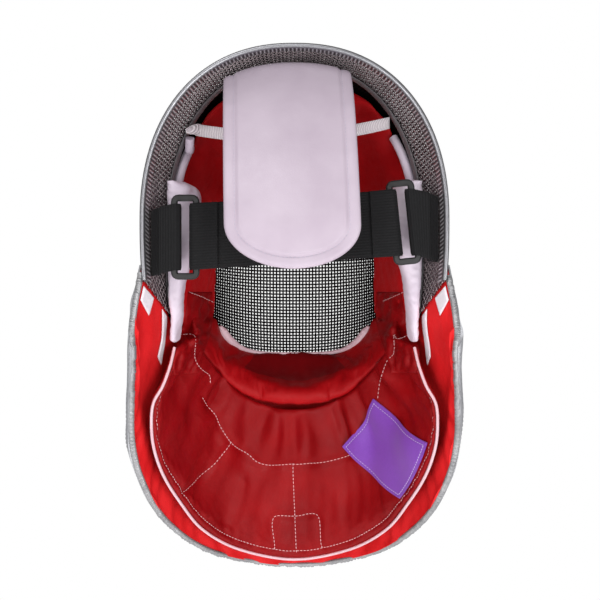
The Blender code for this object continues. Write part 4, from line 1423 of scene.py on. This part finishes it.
def bib_grids():
    """The lining's inner face and the direction that it looks, with gathers near its border."""
    base = lay(mirrored(bib_point), 240, 48)
    normal = -facing(base)
    u, v = lengths(base)
    from_edge = (v[-1] - v)[None, :]
    gather = ripple(u[:, None] / 0.020, v[None, :] / 0.10, 51)
    soft = ripple(u[:, None] / 0.050, v[None, :] / 0.045, 52)
    edge = bell(from_edge, 0, 0.030) * rise(from_edge, 0, 0.006)
    middle = rise(v / v[-1], 0.22, 0.2)[None, :]
    padded = 0.0042 * bell(from_edge, 0.024, 0.015)
    return base, normal, 0.0011 * gather * edge + 0.0012 * soft * middle * (1 - edge) + padded


def edging(name, path, normals, outward, wide, thick):
    """A flat folded binding round a cloth's edge, its rim a little ragged."""
    marks = np.linspace(0, len(path) - 1, 4 * len(path))
    path, normals, outward = (np.stack([np.interp(marks, np.arange(len(rows)), rows[:, axis])
                                        for axis in range(3)], axis=1)
                              for rows in (path, normals, outward))
    step = np.linalg.norm(np.diff(path, axis=0), axis=1).mean()
    run = np.arange(len(path)) * step
    rag = 0.00035 * ripple(run / 0.0022, run * 0, 81) + 0.0004 * ripple(run / 0.012, run * 0, 82)
    rings = []
    for k in range(12):
        turn = 2 * pi * k / 12
        flat = copysign(abs(sin(turn)) ** 0.7, sin(turn)) * thick / 2
        out = cos(turn) * (wide / 2 + rag * (cos(turn) > 0.5))
        rings.append(path + outward * out[:, None] + normals * flat)
    tube = np.stack(rings + rings[:1], axis=1)
    front, back = tube[:, 6:13], tube[:, 6::-1]
    return solid(name, front, back, "edging", 70.0)


def bib_edges(base, normal):
    """Silver binding down the bib's ends and round its border, and along its edge on the mesh."""
    thick = LINING_THICK + COVER_THICK
    j = int(0.10 * (base.shape[1] - 1))
    for name, path, turned in (
            ("bib_border_binding", np.concatenate([base[0, j:-1], base[:, -1], base[-1, -2:j:-1]]),
             np.concatenate([normal[0, j:-1], normal[:, -1], normal[-1, -2:j:-1]])),
            ("bib_mesh_tape", base[2:-2, 0], normal[2:-2, 0])):
        ahead = np.gradient(path, axis=0)
        outward = np.cross(turned, ahead)
        outward /= np.linalg.norm(outward, axis=1, keepdims=True)
        middle = base[base.shape[0] // 2, base.shape[1] // 2]
        if outward[len(path) // 2] @ (path[len(path) // 2] - middle) < 0:
            outward = -outward
        half = 0.0021 if "border" in name else 0.0034
        centre = path - outward * (half - 0.0016) - turned * (thick / 2)
        item = edging(name, centre, turned, outward, 2 * half, thick + 0.0016)
        keep(item, "silver_cloth")


def bibs():
    base, normal, relief = bib_grids()
    # The lining's lighter red is painted light.
    lining = keep(layer("bib_lining_cloth", base, normal, relief, -LINING_THICK, "bib_painted_light"),
                  "red_cloth", "bib_lining")
    u, v = lengths(base)
    back = off(base, normal, -LINING_THICK - 3 * CLEAR)
    weft = ripple(u[:, None] / 0.035, v[None, :] / 0.05, 53)
    fold = ripple(u[:, None] / 0.045, v[None, :] / 0.22, 54)
    middle = rise(v / v[-1], 0.18, 0.15)[None, :]
    swell = 0.0004 * (1 + weft) + 0.0007 * np.clip(fold + 0.6, 0, None) ** 1.5
    swell = swell * (1 - 0.9 * bell(u / u[-1], 0.5, 0.006))[:, None]
    hem = rise(v[-1] - v, 0, 0.012)[None, :]
    front = off(back, -normal, COVER_THICK + swell * middle * (0.25 + 0.75 * hem))
    j, top = step_at(v, v[-1] - 0.009), step_at(v, 0.0055)
    half = len(u) // 2
    stitches("cover_seams", [front[3:-3, j], front[3:-3, top], front[half - 2, top:j],
                             front[half + 2, top:j]], "cover_thread", 0.0040, 0.0030)
    cover = keep(solid("bib_cover_cloth", back, front, "lame"), "silver_cloth", "bib_cover")
    bib_edges(base, normal)
    return off(base, normal, relief)


def inner_bib():
    """The quilted inner bib, its piping and its seams."""
    base = lay(mirrored(inner_bib_point), 280, 84)
    normal = -facing(base)
    u, v = lengths(base)
    across, down = np.meshgrid(u, v, indexing="ij")
    share = np.linspace(0, 1, base.shape[1])[None, :] + 0 * across
    near_chin = bell(share, 0.16, 0.16)
    below = rise(share, 0.40, 0.15) * rise(1 - share, 0, 0.12)
    relief = 0.0
    for height, where, wide, tall, seed in QUILT_WAVES:
        where = near_chin if where == "chin" else below
        relief = relief + height * where * ripple(across / wide, down / tall, seed)
    half = INNER_BIB_THICK / 2
    middle = base + normal * half
    for marks in BIB_SEAMS:
        relief -= 0.0016 * bell(distance_to(middle, seam_line(middle, marks)), 0, 0.0035)
    border_way = edge_distance(base, open_top=True)
    relief -= 0.0010 * bell(border_way, INNER_BIB_HEM, 0.0022)
    relief += 0.0005 * ripple(across / 0.009, down / 0.009, 64) * bell(border_way, 0, 0.012)
    thick = half * (0.12 + 0.88 * rounded(edge_distance(base), 0.0035))
    front = off(base, normal, thick + relief * rounded(edge_distance(base), 0.004))
    back = off(base, normal, -thick)
    bib = keep(solid("inner_bib_cloth", front, back, "bib_red", 80.0), "red_cloth", "inner_bib")
    runs = [seam_line(front + normal * 0.00012, marks) for marks in BIB_SEAMS]
    stitches("inner_bib_seams", runs, "white_thread")
    j, i = step_at(v, v[-1] - INNER_BIB_HEM), step_at(u, INNER_BIB_HEM)
    top_run = ([front[i, k] for k in range(6, j)] + [front[k, j] for k in range(i, len(u) - i)]
               + [front[-1 - i, k] for k in range(j, 6, -1)])
    stitches("inner_bib_topstitch", [np.array(top_run)], "white_thread")
    edge = []
    for k in range(221):
        share_u = k / 220
        end, inside = pick(base, share_u, 1.0), pick(base, share_u, 0.94)
        ahead = pick(base, min(share_u + 0.01, 1), 1.0) - pick(base, max(share_u - 0.01, 0), 1.0)
        ahead /= np.linalg.norm(ahead)
        way = (end - inside) / np.linalg.norm(end - inside)
        way -= ahead * (way @ ahead)
        edge.append(end + way / np.linalg.norm(way) * (PIPING_SEEN + CLEAR))
    piping = roll("inner_bib_piping_tape", edge, PIPING_SEEN, "piping", 8)
    keep(piping, "white_piping", "inner_bib_piping")
    return front, normal


def label(front, normal):
    """The woven label: a plain purple patch sewn round its edge, with nothing on it."""
    (a, b), (c, d), (e, f), (g, h) = LABEL_CORNERS

    def spot(u, v):
        return mix(mix(a, c, u), mix(g, e, u), v), mix(mix(b, d, u), mix(h, f, u), v)

    def place(u, v):
        return pick(front, *spot(u, v)) + pick(normal, *spot(u, v)) * 0.0014

    grid = lay(place, 60, 76)
    for _ in range(60):
        for side in (grid[0], grid[-1], grid[:, 0], grid[:, -1]):
            side[1:-1] = (side[:-2] + side[2:]) / 2
        grid[1:-1, 1:-1] = (grid[:-2, 1:-1] + grid[2:, 1:-1] + grid[1:-1, :-2]
                            + grid[1:-1, 2:]) / 4
    face, flip = facing_way(grid, (30, 38), pick(normal, 0.75, 0.5))
    way = edge_distance(grid)
    raised = (LABEL_THICK + 0.0004 * rounded(way, 0.002)
              - 0.0005 * bell(way, LABEL_HEM, 0.0009))
    top = off(grid, face, raised)
    patch = keep(layer("label_cloth", grid, face, raised, -0.0002, "label", flip=flip),
                 "purple_label", "label")
    i, j = (step_at(run, LABEL_HEM) for run in lengths(grid))
    ring = ([top[i, k] for k in range(j, 76 - j)] + [top[k, -1 - j] for k in range(i, 60 - i)]
            + [top[-1 - i, k] for k in range(76 - j, j, -1)]
            + [top[k, j] for k in range(60 - i, i - 1, -1)])
    stitches("label_stitches", [np.array(ring)], "label_thread", 0.0026, 0.0021, 0.0003)


def bib_tapes(inner):
    """Tape patches at the bib's upper ends and the short tapes that hang by the cheek pads."""
    for side in SIDES:
        for name, (top, foot, down) in TAPES.items():
            def spot(u, v):
                across = mix(mix(*top, u), mix(*foot, u), v)
                return pick(inner, across if side == "left" else 1 - across, mix(*down, v))

            grid = lay(spot, 14, 30)
            inward = np.array([0.0, 0.5, 0.0]) - grid[7, 15] * np.array([1, 0, 0])
            face, flip = facing_way(grid, (7, 15), inward)
            raised = 0.0012 + 0.0007 * rounded(edge_distance(grid), 0.0015)
            tape = keep(layer(f"{name}_tape_{side}", grid, face, raised, 0.0008, "tape",
                              flip=flip), "white_piping", f"{name}_{side}")
            cell_area(grid)


# Cloth that runs on from the cheek pads to the inner bib, and the seams across it

def tree_of(items):
    """A search tree of several pieces' skins, in the frame of the forms."""
    points, faces = [], []
    for item in items:
        start = len(points)
        points += [vertex.co - SEAT for vertex in item.data.vertices]
        faces += [[start + k for k in face.vertices] for face in item.data.polygons]
    return BVHTree.FromPolygons(points, faces)


def sight(tree, spot):
    """The way from the eye through a spot of the rim's plane, in mm, and how far cloth is."""
    way = (Vector((spot.x / 1000, 0.0, spot.y / 1000)) - EYE).normalized()
    return way, tree.ray_cast(EYE, way)[3]


def drape(tree, corners):
    """A grid laid over what is below it: corners are two lines down, in the rim's plane."""
    left, right = (flat_line(line, 60) for line in corners)
    way, far = np.zeros((37, 61, 3)), np.full((37, 61), np.nan)
    for i, j in np.ndindex(far.shape):
        way[i, j], found = sight(tree, left[j].lerp(right[j], i / 36))
        if found is not None and found < EYE_BACK + DRAPE_DEEPEST:
            far[i, j] = found
    known = np.isfinite(far)
    smooth = np.where(known, far, np.nanmean(far))
    for turn in range(410):
        padded = np.pad(smooth, 1, mode="edge")
        mean = (padded[:-2, 1:-1] + padded[2:, 1:-1] + padded[1:-1, :-2] + padded[1:-1, 2:]) / 4
        laid = np.where(known, far, mean)
        smooth = laid if turn < 400 else np.minimum(mean, laid)
    return off(np.zeros_like(way) + np.array(EYE), way, smooth - 0.0004)


def gussets(items):
    """The lining cloth between each cheek pad and the inner bib's upper corner."""
    tree = tree_of(items)
    for side, lines in GUSSETS.items():
        grid = drape(tree, lines)
        face = facing(grid)
        if face[18, 30] @ np.array([0.0, 1.0, 0.0]) < 0:
            grid = grid[::-1]
            face = facing(grid)
        u, v = lengths(grid)
        across, down = np.meshgrid(u, v, indexing="ij")
        way = edge_distance(grid)
        push = (0.0012 + 0.0008 * ripple(across / 0.014, down / 0.022, 91)) * rounded(way, 0.010)
        item = keep(layer(f"cheek_lining_{side}", grid, face, push, push - 0.0010, "bib_red",
                          80.0), "red_cloth")
        cell_area(grid)
        items = items + [item]
    return items


def sewn(items):
    """Seams sewn through the cheek pads' lining, on whatever cloth they cross."""
    tree = tree_of(items)
    runs = []
    for marks in CHEEK_SEAMS:
        seen = [sight(tree, spot) for spot in flat_line(marks, 30)]
        line = [np.array(EYE + way * (far - 0.0001)) for way, far in seen if far is not None]
        run = line[:1]
        for spot in line[1:]:
            if np.linalg.norm(spot - run[-1]) > 0.008:
                runs.append(np.array(run))
                run = []
            run.append(spot)
        runs.append(np.array(run))
    stitches("cheek_lining_seams", [run for run in runs if len(run) > 2], "white_thread")


def chin_binding():
    """White binding along the lower edge of the face opening, fuller at its ends."""
    for side, sign in SIDES.items():
        line, radii = [], []
        for k in range(49):
            angle = mix(-pi / 2, radians(-27), k / 48)
            spot = front_point(angle, opening_share(angle) + 0.030, 0.0150)
            line.append(Vector((sign * spot.x, spot.y, spot.z)))
            radii.append(0.0019 + 0.0024 * ease((k - 30) / 14) - 0.0022 * (k > 46))
        rings = []
        for k, (spot, radius) in enumerate(zip(line, radii)):
            run = line[min(k + 1, 48)] - line[max(k - 1, 0)]
            aside = run.cross(Vector((0, 1, 0))).normalized()
            up = aside.cross(run).normalized()
            rings.append(ring_at(spot, aside * radius, up * radius, 10))
        keep(loft(f"chin_opening_binding_{side}", rings, "binding"), "white_piping")


# Tongue, strap, elastic

def tongue():
    """The spring plate in its white vinyl cover, with a sewn border."""
    line = flat_line([(back * TONGUE_BACK, TONGUE_TOP_Z - down * TONGUE_DROP)
                      for back, down in TONGUE_LINE], 60)
    length = sum((b - a).length for a, b in zip(line, line[1:]))

    def place(u, v):
        share = sin(v * pi / 2) ** 0.9
        spot = along(line, share)
        round_share = min((1 - share) * length / TONGUE_ROUND, 1.0)
        half = max(TONGUE_WIDTH / 2 * sqrt(max(1 - (1 - round_share) ** 2, 0.0)), 0.0004)
        across = (0.5 - u) * 2
        middle = TONGUE_SHIFT + TONGUE_SWAY * share
        bow = TONGUE_BOW * (across * across * (half / TONGUE_WIDTH * 2) ** 2) * share
        x = middle + across * half
        depth = max(-spot.x, 0.0)
        arch = outline(depth, pi / 2).z - height_at(depth, x)
        follow = max(0.0, 1 - max(TONGUE_TOP_Z - spot.y, 0.0) / TONGUE_FLATTEN)
        return Vector((x, spot.x - bow, spot.y - arch * follow))

    base = lay(place, 110, 190)
    normal, flip = facing_way(base, (55, 120), np.array([0, 1, 0]))
    rim_line = np.concatenate([base[0], base[::-1, -1], base[-1, ::-1]])
    way = distance_to(base, rim_line)
    half = TONGUE_THICK / 2
    panel = rise(way, 0.0100, 0.0008)
    relief = 0.00055 * panel * panel * (3 - 2 * panel)
    relief -= 0.0008 * bell(way, 0.0082, 0.0008)
    relief += 0.0004 * bell(way, 0.0035, 0.0022)
    top_way = np.linspace(0, 1, base.shape[1])[None, :]
    relief += 0.0003 * ripple(base[:, :, 0] / 0.040, base[:, :, 2] / 0.050, 71) * panel * top_way
    thick = half * (0.30 + 0.70 * rounded(way, 0.0022))
    front = off(base, normal, thick + relief)
    piece = keep(layer("tongue_cover", base, normal, thick + relief, -thick, "vinyl", 75.0, flip),
                 "white_vinyl", "tongue")
    run = []
    for k in range(len(way[0])):
        inside = [i for i in range(56) if way[i, k] >= TONGUE_HEM]
        if inside:
            run.append((inside[0], k))
    left = [front[i, k] for i, k in run]
    right = [front[110 - i, k] for i, k in run]
    stitches("tongue_stitches", [np.array(left + right[::-1])], "grey_thread", 0.0030, 0.0021,
             0.00028)


def hairpin(length):
    """A strap end round a buckle bar, in the strap's own plane: (along, across)."""
    wide = BUCKLE_THICK / 2 + 2 * CLEAR + STRAP_THICK / 2
    near = STRAP_THICK / 2 + 1.5 * CLEAR
    half_bar = BUCKLE_BAR / 2 - BUCKLE_THICK / 2 + CLEAR
    points = [(length - 0.011, near), (length - half_bar - 0.002, wide)]
    for k in range(13):
        turn = pi * k / 12
        points.append((length + half_bar + wide * sin(turn), wide * cos(turn)))
    return points + [(length - half_bar - 0.002, -wide), (length - 0.011, -near),
                     (length - STRAP_RETURN, -near)]


def strap_height(x):
    return mix(BUCKLE_Z["right"], BUCKLE_Z["left"], (x / BUCKLE_X + 1) / 2)


def ribbon(name, path, height, lean, finish, node):
    """A strap on edge: path in plan, its middle height and its lean where x is."""
    fine = []
    for (x0, y0), (x1, y1) in zip(path, path[1:]):
        steps = max(1, int(sqrt((x1 - x0) ** 2 + (y1 - y0) ** 2) / 0.004))
        fine += [Vector((mix(x0, x1, k / steps), mix(y0, y1, k / steps), 0.0))
                 for k in range(steps)]
    fine.append(Vector((*path[-1], 0.0)))
    count = len(fine) - 1

    def place(u, v):
        point = fine[round(u * count)]
        up = (v - 0.5) * STRAP_WIDTH
        return Vector((point.x - up * lean(point.x), point.y, height(point.x) + up))

    grid = lay(place, count, 24)
    normal = facing(grid)
    down = lengths(grid)[1]
    way = np.minimum(down, down[-1] - down)[None, :] + 0 * grid[:, :, 0]
    half = STRAP_THICK / 2 * (0.45 + 0.55 * rounded(way, 0.0012))
    piece = layer(name, grid, normal, half, -half, finish, 60.0)
    keep(piece, "black_webbing", node)


def straps():
    bar = (BUCKLE_WIDTH - BUCKLE_BAR) / 2
    inner_bar, outer_bar = BUCKLE_X - bar, BUCKLE_X + bar
    tilt = {side: sin(radians(BUCKLE_TILT_DEG[side])) for side in SIDES}

    def middle_lean(x):
        share = min(abs(x) / inner_bar, 1.0)
        return tilt["left" if x > 0 else "right"] * share ** 3

    end = hairpin(inner_bar)
    path = [(-x, STRAP_Y - y) for x, y in reversed(end)] + [(x, STRAP_Y - y) for x, y in end]
    ribbon("head_strap_centre", path, strap_height, middle_lean, "ribs_along", "strap_centre")
    for side, sign in SIDES.items():
        span = STRAP_WIDTH / 2

        def wall(depth):
            heights = (WALL_Z[side] - span, WALL_Z[side] + span)
            return min(inner_wall(depth, z) for z in heights) - STRAP_THICK / 2 - 2 * CLEAR

        run = wall(STRAP_FIXED_REAR) - outer_bar

        def share(x):
            return clamp((sign * x - outer_bar) / run)

        def outer_height(x):
            return mix(BUCKLE_Z[side], WALL_Z[side], share(x))

        def outer_lean(x):
            return tilt[side] * (1 - share(x)) ** 2

        turned = [(outer_bar - x, STRAP_Y - y) for x, y in hairpin(0.0) if x > -run * 0.75]
        path = [(wall(STRAP_FIXED_FRONT), -STRAP_FIXED_FRONT),
                (wall(STRAP_FIXED_REAR) + CLEAR, -STRAP_FIXED_REAR),
                (wall(STRAP_FIXED_REAR) - STRAP_OFF_RIM, -STRAP_FIXED_REAR / 2),
                (outer_bar + run * 0.62, STRAP_Y / 4)] + turned
        ribbon(f"head_strap_{side}", [(sign * x, y) for x, y in path], outer_height, outer_lean,
               "ribs_down", f"strap_{side}")


def elastic():
    """The braided elastic from one upper pad corner to the other, sagging under the tongue."""
    depth = PAD_REAR - 0.012

    def place(u, v):
        across = 1 - 2 * u
        side = "left" if across > 0 else "right"
        half = inner_wall(depth, ELASTIC_END_Z[side] + ELASTIC_WIDTH / 2) - ELASTIC_INSET
        sag = ELASTIC_SAG * (1 - across * across)
        z = mix(ELASTIC_END_Z["right"], ELASTIC_END_Z["left"], 1 - u) - sag
        y = -mix(depth, depth - 0.026, 1 - across * across)
        return Vector((across * half, y, z + (0.5 - v) * ELASTIC_WIDTH))

    grid = lay(place, 90, 14)
    normal = facing(grid)
    thick = 0.0002 + 0.0013 * np.sin(np.linspace(0, pi, 15))[None, :] ** 0.6 * rounded(
        edge_distance(grid), 0.003)
    piece = layer("pad_elastic_braid", grid, normal, thick, -thick, "braid", 80.0)
    keep(piece, "white_braid", "pad_elastic")
    rings = [ring_at(Vector((x, -rear, z)), Vector((0, -deep, 0)), Vector((0, 0, tall)), 12)
             for x, rear, z, tall, deep in ELASTIC_TIP]
    keep(loft("pad_elastic_end", rings, "braid"), "white_braid")


def turned_out():
    """Turns outwards the skins whose grids run the other way round."""
    for name in ("bib_lining_cloth", "bib_cover_cloth", "bib_mesh_tape", "inner_bib_cloth"):
        bpy.data.objects[name].data.flip_normals()


def carried_over():
    """The buckles keep their own solids and get a moulded finish."""
    for side in SIDES:
        item = nodes[f"buckle_{side}"]
        for slot in item.material_slots:
            slot.material = FINISH["plastic"]
        item.data.shade_smooth()


def studio():
    """A pale floor, a white room and soft lights; the camera looks into the open back."""
    floor = bpy.data.meshes.new("floor")
    disc = ring_at(Vector(), Vector((0.9, 0, 0)), Vector((0, 0.9, 0)), 96)
    floor.from_pydata(disc, [], [range(96)])
    pale = Finish("pale_floor")
    speck = pale.noise(3.0, 2.0)
    floor.materials.append(pale.surface(base_color=pale.between(speck, (0.93, 0.93, 0.93, 1.0),
                                                                (0.97, 0.97, 0.97, 1.0)),
                                        roughness=0.9, emission_color=(1.0, 1.0, 1.0, 1.0),
                                        emission_strength=0.34))
    ground = put("floor", floor)
    ground.location.z = solid_box[0][2] - 0.35

    world = bpy.data.worlds.new("white_room")
    bpy.context.scene.world = world
    world.use_nodes = True
    tree = world.node_tree
    seen = tree.nodes["Background"]
    seen.inputs["Color"].default_value = (1.0, 1.0, 1.0, 1.0)
    lit = add_node(tree, "ShaderNodeBackground",
                   {"Color": (1.0, 0.98, 0.97, 1.0), "Strength": ROOM_LIGHT})
    ray = add_node(tree, "ShaderNodeLightPath", {})
    either = add_node(tree, "ShaderNodeMixShader", {0: ray.outputs["Is Camera Ray"],
                                                    1: lit.outputs[0], 2: seen.outputs[0]})
    tree.links.new(either.outputs[0], tree.nodes["World Output"].inputs["Surface"])

    for name, place, size, energy in LAMPS:
        lamp = bpy.data.lights.new(name, "AREA")
        lamp.energy, lamp.size = energy, size
        item = put(name, lamp)
        item.location = place
        item.rotation_euler = (Vector((0.0, 0.1, -0.1)) - Vector(place)).to_track_quat(
            "-Z", "Y").to_euler()

    view = bpy.data.cameras.new("view")
    view.lens, view.sensor_width = LENS, 36.0
    view.shift_x = 5.5 / 600
    view.clip_start, view.clip_end = 0.05, 60.0
    camera = put("view", view)
    camera.location = (0.0, EYE.y + SEAT.y, EYE.z + SEAT.z)
    camera.rotation_euler = (pi / 2, 0.0, pi)
    bpy.context.scene.camera = camera
    bpy.context.scene.view_settings.view_transform = "Standard"


wire_mesh()
rim()
seam_strip()
padding()
pad_edges()
lining_face = bibs()
bib_front, bib_normal = inner_bib()
label(bib_front, bib_normal)
chin_binding()
sewn(gussets([bpy.data.objects[name] for name in (
    "cheek_pad_cloth_left", "cheek_pad_cloth_right", "chin_pad_cloth", "inner_bib_cloth")]))
bib_tapes(lining_face)
tongue()
straps()
elastic()
turned_out()
carried_over()
studio()
